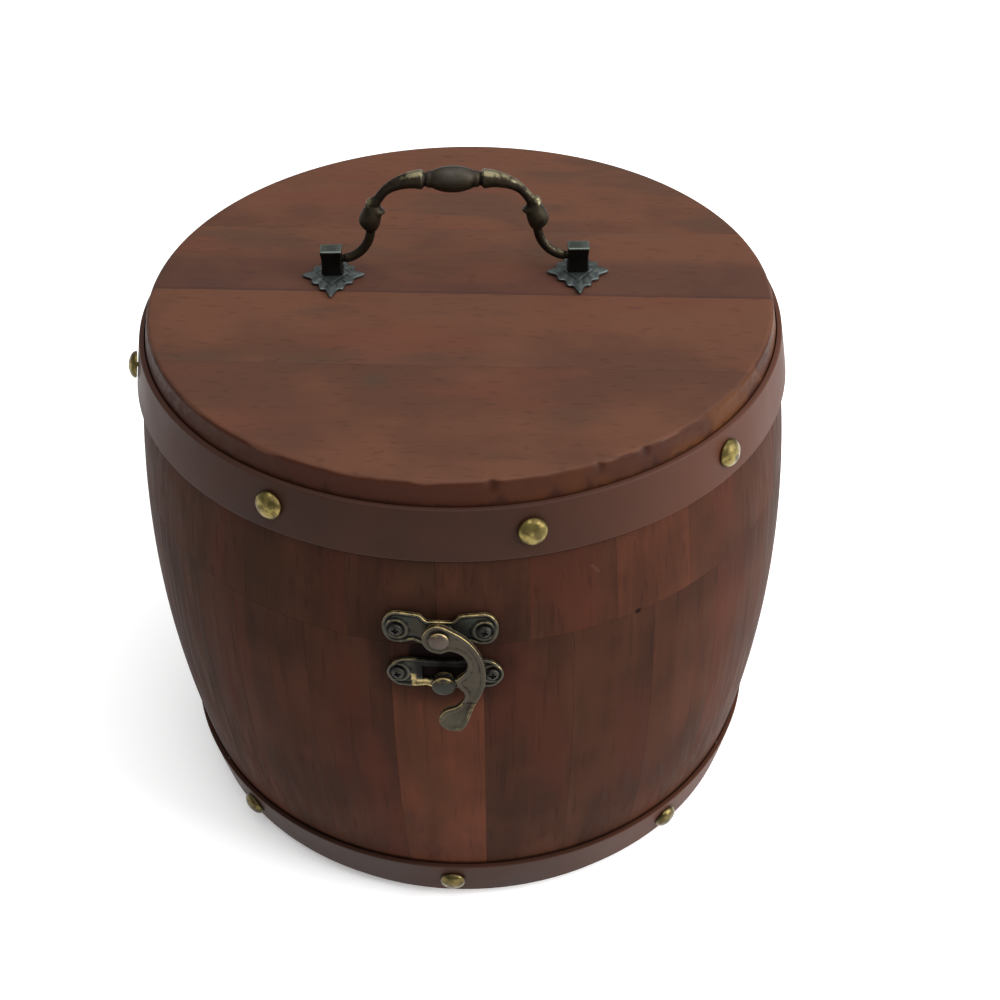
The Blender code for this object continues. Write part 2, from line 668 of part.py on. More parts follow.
def build_leaf(name, spans, sign, frame, wood):
    """One hinge leaf: plate, a strap to each knuckle, pin bore and screw holes."""
    back = -KNUCKLE_RADIUS
    front = back + LEAF_THICKNESS
    near, far = sorted((sign * (KNUCKLE_RADIUS + 2.0 * GAP), sign * LEAF_HEIGHT))
    half = HINGE_WIDTH / 2.0 - GAP
    leaf = add_part(name, block_mesh(name, (-half, near, back), (half, far, front)), frame)
    along_pin = Matrix.Rotation(math.pi / 2.0, 4, "Y")
    half_facet = Matrix.Rotation(math.pi / KNUCKLE_STEPS, 4, "Z")
    shy = GAP / 4.0
    strap_ends = sorted((0.0, sign * (KNUCKLE_RADIUS + 4.0 * GAP)))

    def build_straps(bm):
        for start, end in spans:
            add_block(bm, (start + GAP, strap_ends[0], back + shy), (end - GAP, strap_ends[1], front - shy))

    def build_knuckles(bm):
        for start, end in spans:
            add_drum(bm, KNUCKLE_RADIUS, start, end, along_pin @ half_facet, KNUCKLE_STEPS)
    join(leaf, add_cutter(name + "_straps", solid_mesh(name + "_straps", build_straps), frame))
    join(leaf, add_cutter(name + "_knuckles", solid_mesh(name + "_knuckles", build_knuckles), frame))
    bore = drum_mesh(name + "_bore", HINGE_PIN_RADIUS + GAP, -HINGE_WIDTH, HINGE_WIDTH, 12)
    cut(leaf, add_cutter(name + "_bore", bore, frame @ along_pin))
    screw_side = HINGE_WIDTH / 2.0 - HINGE_SCREW_INSET
    screw_rise = LEAF_HEIGHT - HINGE_SCREW_DROP
    places = [frame @ Matrix.Translation((side * screw_side, sign * screw_rise, back - GAP))
              for side in (-1.0, 1.0)]
    holes = screw_holes(name + "_screw_holes", places)
    cut(leaf, holes)
    cut(wood, holes)
    for side, place in zip(("left", "right"), places):
        build_screw(f"{name}_screw_{side}", place, GAP + LEAF_THICKNESS)
    bronzed(leaf)


def build_hinge(body_staves, lid_staves):
    frame = hinge_frame()
    depth = KNUCKLE_RADIUS + GAP
    half = HINGE_WIDTH / 2.0 + GAP
    reach = LEAF_HEIGHT + GAP
    for name, wood, low, high in (("body_hinge_seat", body_staves, -reach, WALL / 4.0),
                                  ("lid_hinge_seat", lid_staves, -WALL / 4.0, reach)):
        seat = block_mesh(name, (-half, low, -depth), (half, high, WALL))
        cut(wood, add_cutter(name, seat, frame))
    spans = knuckle_spans()
    build_leaf("body_hinge_leaf", spans[0::2], -1.0, frame, body_staves)
    build_leaf("lid_hinge_leaf", spans[1::2], 1.0, frame, lid_staves)
    length = HINGE_WIDTH / 2.0
    head = HINGE_PIN_RADIUS * 1.7
    outline = [(0.0, length + GAP + head), (head, length + GAP + 0.5 * head), (head, length + GAP),
               (HINGE_PIN_RADIUS, length + GAP), (HINGE_PIN_RADIUS, -length), (0.0, -length)]
    pin = add_part("hinge_pin", outline_mesh("hinge_pin", outline, False),
                   frame @ Matrix.Rotation(math.pi / 2.0, 4, "Y"))
    turn(pin, SMALL_STEPS)
    add_finish(pin, STEEL, 0.35, 1.0)


# Drop handle

def handle_frame():
    """Middle of the handle on the lid's top face, X along the handle."""
    spot = Matrix.Translation((HANDLE_SIDE, HANDLE_BACK, HEIGHT))
    return spot @ Matrix.Rotation(HANDLE_YAW, 4, "Z")


def bail_reach():
    return (HANDLE_SPACING - POST_WIDTH) / 2.0


def bail_route():
    """Right half of the bail's middle line, from the grip's middle to its pin, above the axis."""
    reach = bail_reach()
    points = [(reach * across, BAIL_RISE * up) for across, up in BAIL_SHAPE]
    return points + [(reach, 0.0), (reach + PIN_DEPTH, 0.0)]


def bead(distance, middle, half_length, radius):
    """Radius of an egg-shaped swelling at a distance along the bail."""
    share = (distance - middle) / half_length
    return radius * math.sqrt(1.0 - share * share) if abs(share) < 1.0 else 0.0


def bail_radius(distance, knee, total):
    """Thickness along the bail: a fat grip, a collar beside it, a knob at the knee, thin pins."""
    swellings = [bead(distance, *size) for size in (GRIP, COLLAR, TAPER)]
    knob = bead(distance, knee, KNEE_HALF_LENGTH, KNEE_RADIUS)
    inside_post = distance > total - PIN_DEPTH - 2.0 * GAP
    rod = PIN_RADIUS if inside_post else ROD_RADIUS
    return max(rod, knob, *swellings)


def sample_route(points, steps):
    """Points along a smooth curve through the route, with their distance from its start."""
    padded = [(-points[1][0], points[1][1])] + points + [points[-1]]
    line = []
    for i in range(len(points) - 1):
        line += [smooth_between(*padded[i:i + 4], step / steps) for step in range(steps)]
    line.append(points[-1])
    distances = [0.0]
    for first, second in zip(line, line[1:]):
        distances.append(distances[-1] + math.dist(first, second))
    return list(zip(line, distances))


def build_bail(frame):
    """The drop handle's bail as one tube of changing thickness."""
    samples = sample_route(bail_route(), ROUTE_STEPS)
    total = samples[-1][1]
    knee = samples[KNEE_POINT * ROUTE_STEPS][1]
    half = [(across, up, bail_radius(distance, knee, total)) for (across, up), distance in samples]
    full = [(-across, up, radius) for across, up, radius in reversed(half[1:])] + half
    curve = bpy.data.curves.new("handle_bail", "CURVE")
    curve.dimensions = "3D"
    curve.bevel_depth = 1.0
    curve.bevel_resolution = 2
    curve.use_fill_caps = True
    spline = curve.splines.new("POLY")
    spline.points.add(len(full) - 1)
    for point, (across, up, radius) in zip(spline.points, full):
        point.co = (across, 0.0, up, 1.0)
        point.radius = radius
    rod = bpy.data.objects.new("handle_bail_line", curve)
    parts.objects.link(rod)
    bail = add_part("handle_bail", mesh_of(rod), frame @ Matrix.Translation((0.0, 0.0, PIVOT_RISE)))
    bronzed(bail)


def rosette_outline():
    """A diamond with pointed tips and scalloped sides, longer from front to back."""
    count = 48
    outline = []
    for i in range(count):
        angle = 2.0 * math.pi * i / count
        across, along = math.cos(angle), math.sin(angle)
        reach = (1.0 + SCALLOP * math.cos(12.0 * angle)) / (1.0 + SCALLOP) / (abs(across) + abs(along))
        outline.append((ROSETTE_HALF_WIDTH * across * reach, ROSETTE_HALF_LENGTH * along * reach))
    return outline


def build_post(side, sign, frame, boards):
    """One end of the handle: rosette, post with the bail's bore, and the bolt that holds both."""
    spot = frame @ Matrix.Translation((sign * HANDLE_SPACING / 2.0, 0.0, 0.0))
    hole = circle(BOLT_RADIUS + GAP)
    mesh = plate_mesh(f"handle_rosette_{side}", [rosette_outline(), hole], GAP, GAP + ROSETTE_THICKNESS)
    rosette = add_part(f"handle_rosette_{side}", mesh, spot)
    bronzed(rosette)

    foot = 2.0 * GAP + ROSETTE_THICKNESS
    half = (POST_WIDTH / 2.0, POST_DEPTH / 2.0)
    name = f"handle_post_{side}"
    post = add_part(name, block_mesh(name, (-half[0], -half[1], foot), (half[0], half[1], POST_HEIGHT)), spot)
    rounding = post.modifiers.new("soft_edges", "BEVEL")
    rounding.width = POST_EDGE_ROUND
    rounding.segments = 2
    bore_start = -sign * (half[0] + GAP)
    bore_end = -sign * (half[0] - PIN_DEPTH - GAP)
    bore = drum_mesh(name + "_bore", PIN_RADIUS + GAP, min(bore_start, bore_end), max(bore_start, bore_end))
    axis = Matrix.Translation((0.0, 0.0, PIVOT_RISE)) @ Matrix.Rotation(math.pi / 2.0, 4, "Y")
    cut(post, add_cutter(name + "_bore", bore, spot @ axis))
    thread = drum_mesh(f"bolt_hole_{side}", BOLT_RADIUS + GAP, -2.0 * TOP_THICKNESS, foot + BOLT_GRIP + GAP)
    bolt_hole = add_cutter(f"bolt_hole_{side}", thread, spot)
    cut(post, bolt_hole)
    for board, front, back in boards:
        if front < spot.translation.y + BOLT_RADIUS and back > spot.translation.y - BOLT_RADIUS:
            cut(board, bolt_hole)
    bronzed(post)

    under = -TOP_THICKNESS - GAP
    outline = [(0.0, foot + BOLT_GRIP), (BOLT_RADIUS, foot + BOLT_GRIP), (BOLT_RADIUS, under),
               (BOLT_HEAD_RADIUS, under), (BOLT_HEAD_RADIUS, under - 0.5 * BOLT_HEAD_HEIGHT),
               (0.6 * BOLT_HEAD_RADIUS, under - BOLT_HEAD_HEIGHT), (0.0, under - BOLT_HEAD_HEIGHT)]
    bolt = add_part(f"handle_bolt_{side}", outline_mesh(f"handle_bolt_{side}", outline, False), spot)
    turn(bolt, SMALL_STEPS)
    add_finish(bolt, STEEL, 0.35, 1.0)


def build_handle(boards):
    frame = handle_frame()
    build_post("left", -1.0, frame, boards)
    build_post("right", 1.0, frame, boards)
    build_bail(frame)


clear_scene()
parts = add_collection("tea_canister")
cutters = add_collection("cutters")
body_wood = build_base()
lid_wood, lid_boards = build_lid()
build_latch(body_wood, lid_wood)
build_hinge(body_wood, lid_wood)
build_handle(lid_boards)
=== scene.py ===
# Wooden tea canister: the fine shape and finish of every piece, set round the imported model.
# Metres, +Z up, the latch faces -Y.

import json
import math
import random

import bmesh
import bpy
import numpy as np
from mathutils import Matrix, Vector, noise

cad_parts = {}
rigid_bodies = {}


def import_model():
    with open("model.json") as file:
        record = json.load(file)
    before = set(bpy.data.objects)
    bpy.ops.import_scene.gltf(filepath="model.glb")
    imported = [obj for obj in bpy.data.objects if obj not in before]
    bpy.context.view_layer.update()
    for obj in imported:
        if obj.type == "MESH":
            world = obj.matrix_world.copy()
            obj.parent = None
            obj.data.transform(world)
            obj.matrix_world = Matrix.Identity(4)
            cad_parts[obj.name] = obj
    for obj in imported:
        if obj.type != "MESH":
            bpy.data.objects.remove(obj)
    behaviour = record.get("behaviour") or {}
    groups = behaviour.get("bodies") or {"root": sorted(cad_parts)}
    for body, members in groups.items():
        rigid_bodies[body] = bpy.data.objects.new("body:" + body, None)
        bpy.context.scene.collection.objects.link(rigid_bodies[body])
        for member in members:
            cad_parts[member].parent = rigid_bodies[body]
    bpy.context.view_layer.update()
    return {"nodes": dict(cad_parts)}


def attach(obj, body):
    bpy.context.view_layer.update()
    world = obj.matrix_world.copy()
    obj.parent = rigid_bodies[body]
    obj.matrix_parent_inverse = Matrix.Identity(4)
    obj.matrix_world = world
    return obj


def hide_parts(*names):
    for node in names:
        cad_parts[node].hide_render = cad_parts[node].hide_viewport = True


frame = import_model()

sceneObjects = bpy.context.scene.collection.objects

barrel = {
    "height": 0.148, "foot": 0.0795, "belly": 0.0884, "rim": 0.0802, "wall": 0.008,
    "seam": 0.1046, "gap": 0.0003, "baseThickness": 0.008, "topThickness": 0.008, "rabbet": 0.002,
}
gap = barrel["gap"]


# Places on the barrel

def barrelRadius(height):
    t = height / barrel["height"]
    return (barrel["foot"] * (1 - t) * (1 - 2 * t) + barrel["belly"] * 4 * t * (1 - t)
            + barrel["rim"] * t * (2 * t - 1))


def barrelLean(height):
    t = height / barrel["height"]
    slope = (barrel["foot"] * (4 * t - 3) + barrel["belly"] * (4 - 8 * t) + barrel["rim"] * (4 * t - 1))
    return math.atan(-slope / barrel["height"])


def moved(x, y, z):
    return Matrix.Translation((x, y, z))


def turnedBy(angle, axis):
    return Matrix.Rotation(angle, 4, axis)


def wallFrame(angle, height):  # X round to the right, Y up the wall, Z straight out
    face = moved(0, -barrelRadius(height), height)
    return turnedBy(angle, "Z") @ face @ turnedBy(math.pi / 2 - barrelLean(height), "X")


def polar(angle, radius, height):
    return (radius * math.sin(angle), -radius * math.cos(angle), height)


def spread(start, end, steps):
    return [start + (end - start) * i / steps for i in range(steps + 1)]


def dome(radius, base, rise, steps):  # (radius, height) points of a round top, from its middle outwards
    return [(radius * math.sin(a), base + rise * math.cos(a)) for a in spread(0, math.pi / 2, steps)]


def smoothStep(low, high, value):
    share = np.clip((value - low) / (high - low), 0, 1)
    return share * share * (3 - 2 * share)


def plateau(low, full, fade, end, value):  # 1 between two smooth flanks
    return smoothStep(low, full, value) * (1 - smoothStep(fade, end, value))


# Mesh helpers

def meshFrom(name, build, sharpAngle=35):
    mesh = bpy.data.meshes.new(name)
    bm = bmesh.new()
    build(bm)
    bmesh.ops.recalc_face_normals(bm, faces=bm.faces)
    bm.to_mesh(mesh)
    bm.free()
    mesh.shade_smooth()
    mesh.set_sharp_from_angle(angle=math.radians(sharpAngle))
    return mesh


def show(name, mesh):
    made = bpy.data.objects.new(name, mesh)
    sceneObjects.link(made)
    return made


def drop(thing):
    bpy.data.objects.remove(thing, do_unlink=True)


def evaluated(thing):  # the object's mesh with its modifiers applied, the object itself removed
    graph = bpy.context.evaluated_depsgraph_get()
    mesh = bpy.data.meshes.new_from_object(thing.evaluated_get(graph))
    drop(thing)
    return mesh


def carved(thing, build, operation="DIFFERENCE", selfCrossing=False):  # the mesh left by a boolean
    cutter = show("cutter", meshFrom("cutter", build))
    step = thing.modifiers.new("carve", "BOOLEAN")
    step.operation = operation
    step.solver = "EXACT"
    step.use_self = selfCrossing
    step.object = cutter
    mesh = evaluated(thing)
    drop(cutter)
    return mesh


def addBox(bm, low, high, place=Matrix()):
    middle = moved(*((a + b) / 2 for a, b in zip(low, high)))
    size = Matrix.Diagonal((*(b - a for a, b in zip(low, high)), 1))
    bmesh.ops.create_cube(bm, size=1, matrix=place @ middle @ size)


def loftRings(bm, rings, caps=True):  # faces between closed rows of points that run the same way
    rows = [[bm.verts.new(point) for point in ring] for ring in rings]
    count = len(rows[0])
    for first, second in zip(rows, rows[1:]):
        for i in range(count):
            j = (i + 1) % count
            bm.faces.new((first[i], first[j], second[j], second[i]))
    if caps:
        bm.faces.new(list(reversed(rows[0])))
        bm.faces.new(rows[-1])


def turned(bm, profile, steps, place=Matrix()):  # spins (radius, height) points, both ends on the axis
    start = len(bm.verts)
    turns = [math.tau * i / steps for i in range(steps)]
    rings = [[place @ Vector((radius * math.cos(a), radius * math.sin(a), height)) for a in turns]
             for radius, height in profile]
    loftRings(bm, rings, False)
    bm.verts.ensure_lookup_table()
    bmesh.ops.remove_doubles(bm, verts=bm.verts[start:], dist=0.000002)


def rowsOf(items, key, width, kind=np.float32):
    flat = np.empty(len(items) * width, kind)
    items.foreach_get(key, flat)
    return flat.reshape(-1, width)


def points(mesh):
    return rowsOf(mesh.vertices, "co", 3).astype(float)


def setPoints(mesh, places):
    mesh.vertices.foreach_set("co", places.astype(np.float32).ravel())
    mesh.update()


def setAttribute(mesh, name, values):
    layer = mesh.attributes.get(name) or mesh.attributes.new(name, "FLOAT", "POINT")
    layer.data.foreach_set("value", np.asarray(values, np.float32))


def paintWearAndHighlight(mesh, reach, passes=3):  # "wear": 1 on edges, -1 in hollows; "goldHighlight": painted highlight, gold on edges facing up
    places = points(mesh)
    normals = rowsOf(mesh.vertices, "normal", 3)
    first, second = rowsOf(mesh.edges, "vertices", 2, np.int32).T
    count = np.bincount(np.concatenate((first, second)), minlength=len(places)).clip(1)

    def neighbourMean(values):
        total = np.zeros_like(values)
        np.add.at(total, first, values[second])
        np.add.at(total, second, values[first])
        return total / (count[:, None] if values.ndim == 2 else count)
    bulge = ((places - neighbourMean(places)) * normals).sum(1)
    for _ in range(passes):
        bulge = 0.5 * bulge + 0.5 * neighbourMean(bulge)
    setAttribute(mesh, "wear", np.clip(bulge / reach, -1, 1))
    # painted highlight: worn gold shown only on edges that face up, where the light catches them
    setAttribute(mesh, "goldHighlight", np.clip(bulge / reach, 0, 1) * smoothStep(0.1, 0.8, normals[:, 2]))


def fused(name, build, voxel, passes=3):  # shapes run together into one even skin
    lump = show(name, meshFrom(name, build))
    remesh = lump.modifiers.new("fuse", "REMESH")
    remesh.mode = "VOXEL"
    remesh.voxel_size = voxel
    soften = lump.modifiers.new("soften", "SMOOTH")
    soften.factor = 0.5
    soften.iterations = passes
    mesh = evaluated(lump)
    mesh.shade_smooth()
    return mesh


def smoothBetween(a, b, c, d, share):
    return tuple(0.5 * (2 * q + (r - p) * share + (2 * p - 5 * q + 4 * r - s) * share ** 2
                        + (3 * q - p - 3 * r + s) * share ** 3) for p, q, r, s in zip(a, b, c, d))


def smoothLoop(corners):
    steps, count = 4, len(corners)
    result = []
    for i in range(count):
        around = [corners[(i + k) % count] for k in (-1, 0, 1, 2)]
        result += [smoothBetween(*around, step / steps) for step in range(steps)]
    return result


def addSlab(bm, outlines, low, high):  # flat plate from closed outlines, inner ones being holes
    curve = bpy.data.curves.new("slab", "CURVE")
    curve.dimensions = "2D"
    curve.fill_mode = "BOTH"
    curve.extrude = (high - low) / 2
    for outline in outlines:
        spline = curve.splines.new("POLY")
        spline.points.add(len(outline) - 1)
        for point, (x, y) in zip(spline.points, outline):
            point.co = (x, y, 0, 1)
        spline.use_cyclic_u = True
    mesh = evaluated(show("slab", curve))
    mesh.transform(moved(0, 0, (low + high) / 2))
    start = len(bm.verts)
    bm.from_mesh(mesh)
    bm.verts.ensure_lookup_table()
    bmesh.ops.remove_doubles(bm, verts=bm.verts[start:], dist=0.000005)


def edgeDistance(places, outline):  # from each point to the outline, seen from above
    best = np.full(len(places), 1.0)
    starts = np.array(outline)
    for start, end in zip(starts, np.roll(starts, -1, axis=0)):
        along = end - start
        share = np.clip(((places[:, :2] - start) @ along) / max(along @ along, 1e-12), 0, 1)
        best = np.minimum(best, np.linalg.norm(places[:, :2] - start - share[:, None] * along, axis=1))
    return best


def ontoWall(places, base):  # bends flat points (x, y, out) round the wall
    flat = np.column_stack((places[:, 0], places[:, 1], np.zeros(len(places)), np.ones(len(places))))
    world = flat @ np.array(base).T
    angles = np.arctan2(world[:, 0], -world[:, 1])
    radius = barrelRadius(world[:, 2]) + places[:, 2]
    return np.column_stack((radius * np.sin(angles), -radius * np.cos(angles), world[:, 2]))


def finish(name, mesh, body, slot, *nodes):
    piece = show(name, mesh)
    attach(piece, body)
    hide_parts(*nodes)


# Node helpers. A new node goes into the tree of its inputs.

def feed(sockets, values):  # links what comes from a node, sets the rest
    for key, value in values.items():
        if isinstance(value, bpy.types.NodeSocket):
            value.id_data.links.new(value, sockets[key])
        else:
            sockets[key].default_value = value


def node(kind, inputs, tree=None, **settings):
    given = [value for value in inputs.values() if isinstance(value, bpy.types.NodeSocket)]
    made = (tree or given[0].id_data).nodes.new(kind)
    for key, value in settings.items():
        setattr(made, key, value)
    feed(made.inputs, inputs)
    return made.outputs


def calc(operation, first, second=0.0):
    return node("ShaderNodeMath", {0: first, 1: second}, operation=operation)[0]


def plus(first, second):
    return calc("ADD", first, second)


def minus(first, second):
    return calc("SUBTRACT", first, second)


def times(first, second):
    return calc("MULTIPLY", first, second)


def largest(first, *others):
    for other in others:
        first = calc("MAXIMUM", first, other)
    return first


def mixColour(share, first, second, mode="MIX"):
    inputs = {0: share, 6: first, 7: second}
    return node("ShaderNodeMix", inputs, data_type="RGBA", blend_type=mode)[2]


def between(value, low, high, start=0.0, end=1.0):
    inputs = {"Value": value, "From Min": low, "From Max": high, "To Min": start, "To Max": end}
    return node("ShaderNodeMapRange", inputs, interpolation_type="SMOOTHSTEP")["Result"]


def speckle(vector, scale, detail=4.0, distortion=0.0):
    inputs = {"Vector": vector, "Scale": scale, "Detail": detail, "Distortion": distortion}
    return node("ShaderNodeTexNoise", inputs)["Fac"]


def calcVector(operation, first, second, output="Vector"):
    return node("ShaderNodeVectorMath", {0: first, 1: second}, operation=operation)[output]


def stretched(vector, scale):
    return calcVector("MULTIPLY", vector, scale)


def axes(vector):
    return node("ShaderNodeSeparateXYZ", {0: vector})


def upwards(value):
    return node("ShaderNodeCombineXYZ", {2: value})[0]


def attribute(place, name):
    return node("ShaderNodeAttribute", {}, place.id_data, attribute_name=name)["Fac"]


def clouds(vector, scale, detail, *span):
    return between(speckle(vector, scale, detail), *span)


def newTree(kind, name, inputs, outputs):
    tree = bpy.data.node_groups.new(name, kind + "NodeTree")
    for way, rows in (("INPUT", inputs), ("OUTPUT", outputs)):
        for label, socket in rows.items():
            tree.interface.new_socket(label, in_out=way, socket_type="NodeSocket" + socket)
    return tree, tree.nodes.new("NodeGroupInput").outputs, tree.nodes.new("NodeGroupOutput").inputs


def useGroup(group, inputs):
    return node("ShaderNodeGroup", inputs, node_tree=group)


def wearOn(place, edge, start, full):
    return useGroup(wearGroup, {"Vector": place, "Edge": edge, "Start": start, "Full": full})


def newMaterial(name):
    material = bpy.data.materials.new(name)
    material.use_nodes = True
    tree = material.node_tree
    place = tree.nodes.new("ShaderNodeTexCoord").outputs["Object"]
    return material, tree.nodes["Principled BSDF"].inputs, place


def bumpy(height, distance, strength=0.5):
    return node("ShaderNodeBump", {"Height": height, "Distance": distance, "Strength": strength})["Normal"]


# Shared effects

def makeGrainGroup():
    tree, given, result = newTree("Shader", "woodGrain", {
        "Vector": "Vector", "Along": "Vector", "Pores along": "Vector", "Tone": "Float", "Streaks": "Float",
        "Pore amount": "Float", "Light": "Color", "Dark": "Color", "Blush": "Color", "Shade": "Color",
    }, {"Color": "Color", "Roughness": "Float", "Height": "Float"})
    vector = given["Vector"]
    run = stretched(vector, given["Along"])
    fine = speckle(run, 640, 3)
    grain = plus(times(speckle(run, 130, 5, 0.5), 0.7), times(fine, 0.3))
    cloudy = times(speckle(vector, 46, 4), minus(1.0, given["Streaks"]))
    share = plus(plus(times(grain, given["Streaks"]), cloudy), times(given["Tone"], 0.16))
    colour = mixColour(between(share, 0.36, 0.64), given["Dark"], given["Light"])
    halfRun = stretched(vector, calcVector("ADD", given["Along"], (0.35, 0.35, 0.35)))
    for label, scale, low, high in (("Blush", 38, 0.50, 0.66), ("Shade", 53, 0.54, 0.70)):
        colour = mixColour(times(clouds(halfRun, scale, 3, low, high), 0.6), colour, given[label])
    pores = clouds(stretched(vector, given["Pores along"]), 1100, 1, 0.60, 0.72)
    pores = times(pores, given["Pore amount"])
    colour = mixColour(times(pores, 0.7), colour, (0.012, 0.006, 0.005, 1))
    feed(result, {"Color": colour, "Roughness": between(fine, 0.3, 0.7, 0.44, 0.58),
                  "Height": minus(times(fine, 0.4), pores)})
    return tree


def makeWearGroup():
    tree, given, result = newTree("Shader", "edgeWear", {
        "Vector": "Vector", "Edge": "Float", "Start": "Float", "Full": "Float",
    }, {"Worn": "Float", "Hollow": "Float"})
    rough = clouds(given["Vector"], 700, 4, 0.25, 0.75, -0.35, 0.35)
    edge = plus(given["Edge"], times(rough, 0.6))
    feed(result, {"Worn": between(edge, given["Start"], given["Full"]),
                  "Hollow": between(times(edge, -1.0), 0.0, 0.5)})
    return tree


grainGroup = makeGrainGroup()
wearGroup = makeWearGroup()


# Materials. Places on the front are (x, height), ends of marks (degrees round, height).

sideWood = {
    "grain": {"Along": (1, 1, 0.05), "Pores along": (0.7, 0.7, 0.03), "Streaks": 0.55, "Pore amount": 0.40,
              "Light": (0.045, 0.0178, 0.0104, 1), "Dark": (0.026, 0.0111, 0.0069, 1),
              "Blush": (0.048, 0.0149, 0.0094, 1), "Shade": (0.0265, 0.0134, 0.0075, 1)},
    "toneAndPaintedLight": (2.0, 1.65, 1.55, 1), "toneAndPaintedLightFade": (0.086, 0.100), "shine": 0.015, "bump": 0.00008,
    "inside": (0.180, 0.090, 0.045, 1), "insideDark": (0.120, 0.055, 0.026, 1),
    # painted shade: the marks round the latch, in the catch plate's window and along the bands darken the
    # wood where shadow falls; the dot and the scratch are real marks
    "shadowAndDirt": (0.004, 0.0022, 0.0020, 1), "scratched": (0.080, 0.040, 0.026, 1),
    "latchShadow": {"middle": (0.0008, 0.1018), "reach": (0.0172, 0.0150), "soft": 0.30, "power": 3.0,
             "amount": 0.54},
    "slot": {"middle": (-0.0002, 0.0998), "reach": (0.0078, 0.0058), "soft": 0.15, "power": 8.0,
             "amount": 0.98},
    "dot": {"ends": ((32.0, 0.1047), (32.15, 0.1048)), "reach": 0.0010, "amount": 0.9},
    "scratch": {"ends": ((24.1, 0.1224), (25.2, 0.1202)), "reach": 0.00045, "amount": 0.4},
    "bandShadows": (0.1288, 0.0169), "shadowReach": (0.0003, 0.0012), "shadow": 0.6,
}


def frontMask(place, middle, reach, soft, power, amount):  # round a place on the front; power 2 is an oval
    x, y, z = axes(place)
    far = 0.0
    for value, centre, size in ((x, middle[0], reach[0]), (z, middle[1], reach[1])):
        away = calc("ABSOLUTE", calc("DIVIDE", minus(value, centre), size))
        far = plus(calc("POWER", away, power), far)
    ragged = plus(calc("POWER", far, 1 / power), times(speckle(place, 240, 3), 0.3))
    mask = between(ragged, 1.15 - soft, 1.15 + soft, 1.0, 0.0)
    return times(times(mask, calc("LESS_THAN", y, 0.0)), amount)


def markMask(place, ends, reach, amount):  # along a short mark on the wall
    first, last = (Vector(polar(math.radians(turn), barrelRadius(z), z)) for turn, z in ends)
    along = last - first
    gone = calcVector("SUBTRACT", place, first)
    share = calcVector("DOT_PRODUCT", gone, along / along.length_squared, "Value")
    share = calc("MINIMUM", calc("MAXIMUM", share, 0.0), 1.0)
    nearest = node("ShaderNodeVectorMath", {0: along, "Scale": share}, operation="SCALE")[0]
    far = calcVector("DISTANCE", gone, nearest, "Value")
    return times(between(far, 0.3 * reach, reach, 1.0, 0.0), amount)


def sideWoodMaterial(name):
    material, shader, place = newMaterial(name)
    tone, toneAndPaintedLight = attribute(place, "staveTone"), attribute(place, "staveToneAndPaintedLight")
    shifted = calcVector("ADD", place, upwards(times(tone, 0.7)))
    grain = useGroup(grainGroup, {"Vector": shifted, "Tone": tone, **sideWood["grain"]})
    z = axes(place)[2]  # the body's light staves darken towards the seam
    kept = largest(between(z, *sideWood["toneAndPaintedLightFade"], 1.0, 0.0), calc("GREATER_THAN", z, barrel["seam"]))
    # painted light: the lightening on the staves right of the latch stands in for light from the right;
    # elsewhere it is the staves' own tone
    lift = mixColour(times(toneAndPaintedLight, kept), (1, 1, 1, 1), sideWood["toneAndPaintedLight"])
    colour = mixColour(1.0, grain["Color"], lift, "MULTIPLY")
    colour = mixColour(markMask(place, **sideWood["scratch"]), colour, sideWood["scratched"])
    # painted shadow round the latch plates and in the catch plate's window, plus a real dark dot on the seam
    shadowAndDirt = largest(frontMask(place, **sideWood["latchShadow"]), frontMask(place, **sideWood["slot"]),
                    markMask(place, **sideWood["dot"]))
    for height in sideWood["bandShadows"]:  # painted shadow along the bands' edges
        away = calc("ABSOLUTE", minus(z, height))
        shadowAndDirt = largest(shadowAndDirt, between(away, *sideWood["shadowReach"], sideWood["shadow"], 0.0))
    colour = mixColour(shadowAndDirt, colour, sideWood["shadowAndDirt"])
    plain = mixColour(speckle(stretched(shifted, (1, 1, 0.06)), 150, 4),
                      sideWood["inside"], sideWood["insideDark"])
    inside = between(attribute(place, "inside"), 0.05, 0.15)
    feed(shader, {"Base Color": mixColour(inside, colour, plain),
                  "Roughness": plus(grain["Roughness"], times(inside, 0.2)),
                  "Specular IOR Level": sideWood["shine"],
                  "Normal": bumpy(grain["Height"], sideWood["bump"])})
    return material


lidWood = {
    "grain": {"Along": (0.08, 1, 1), "Pores along": (0.22, 0.75, 0.75), "Streaks": 0.30, "Pore amount": 0.28,
              "Light": (0.088, 0.0358, 0.0200, 1), "Dark": (0.063, 0.0266, 0.0162, 1),
              "Blush": (0.087, 0.0300, 0.0178, 1), "Shade": (0.053, 0.0290, 0.0182, 1)},
    "edge": (0.036, 0.0104, 0.0048, 1), "litWarmEdge": (0.064, 0.0205, 0.0048, 1), "litWarmSide": (0.0, 0.055),
    "chip": (0.014, 0.0042, 0.0024, 1), "shine": 0.08, "bump": 0.00008,
    "stripe": (0.034, 0.0165, 0.0145, 1), "stripeSides": (0.012, 0.034), "stripeShare": 0.40,
    "lineSpan": (0.0004, 0.0016), "lineShare": 0.25,
    "patch": (0.038, 0.030, 0.023, 1), "patchPlace": (-0.018, -0.042), "patchReach": 0.008,
    "patchShare": 0.55, "shift": (0.37, 0.21, 0.05),
}


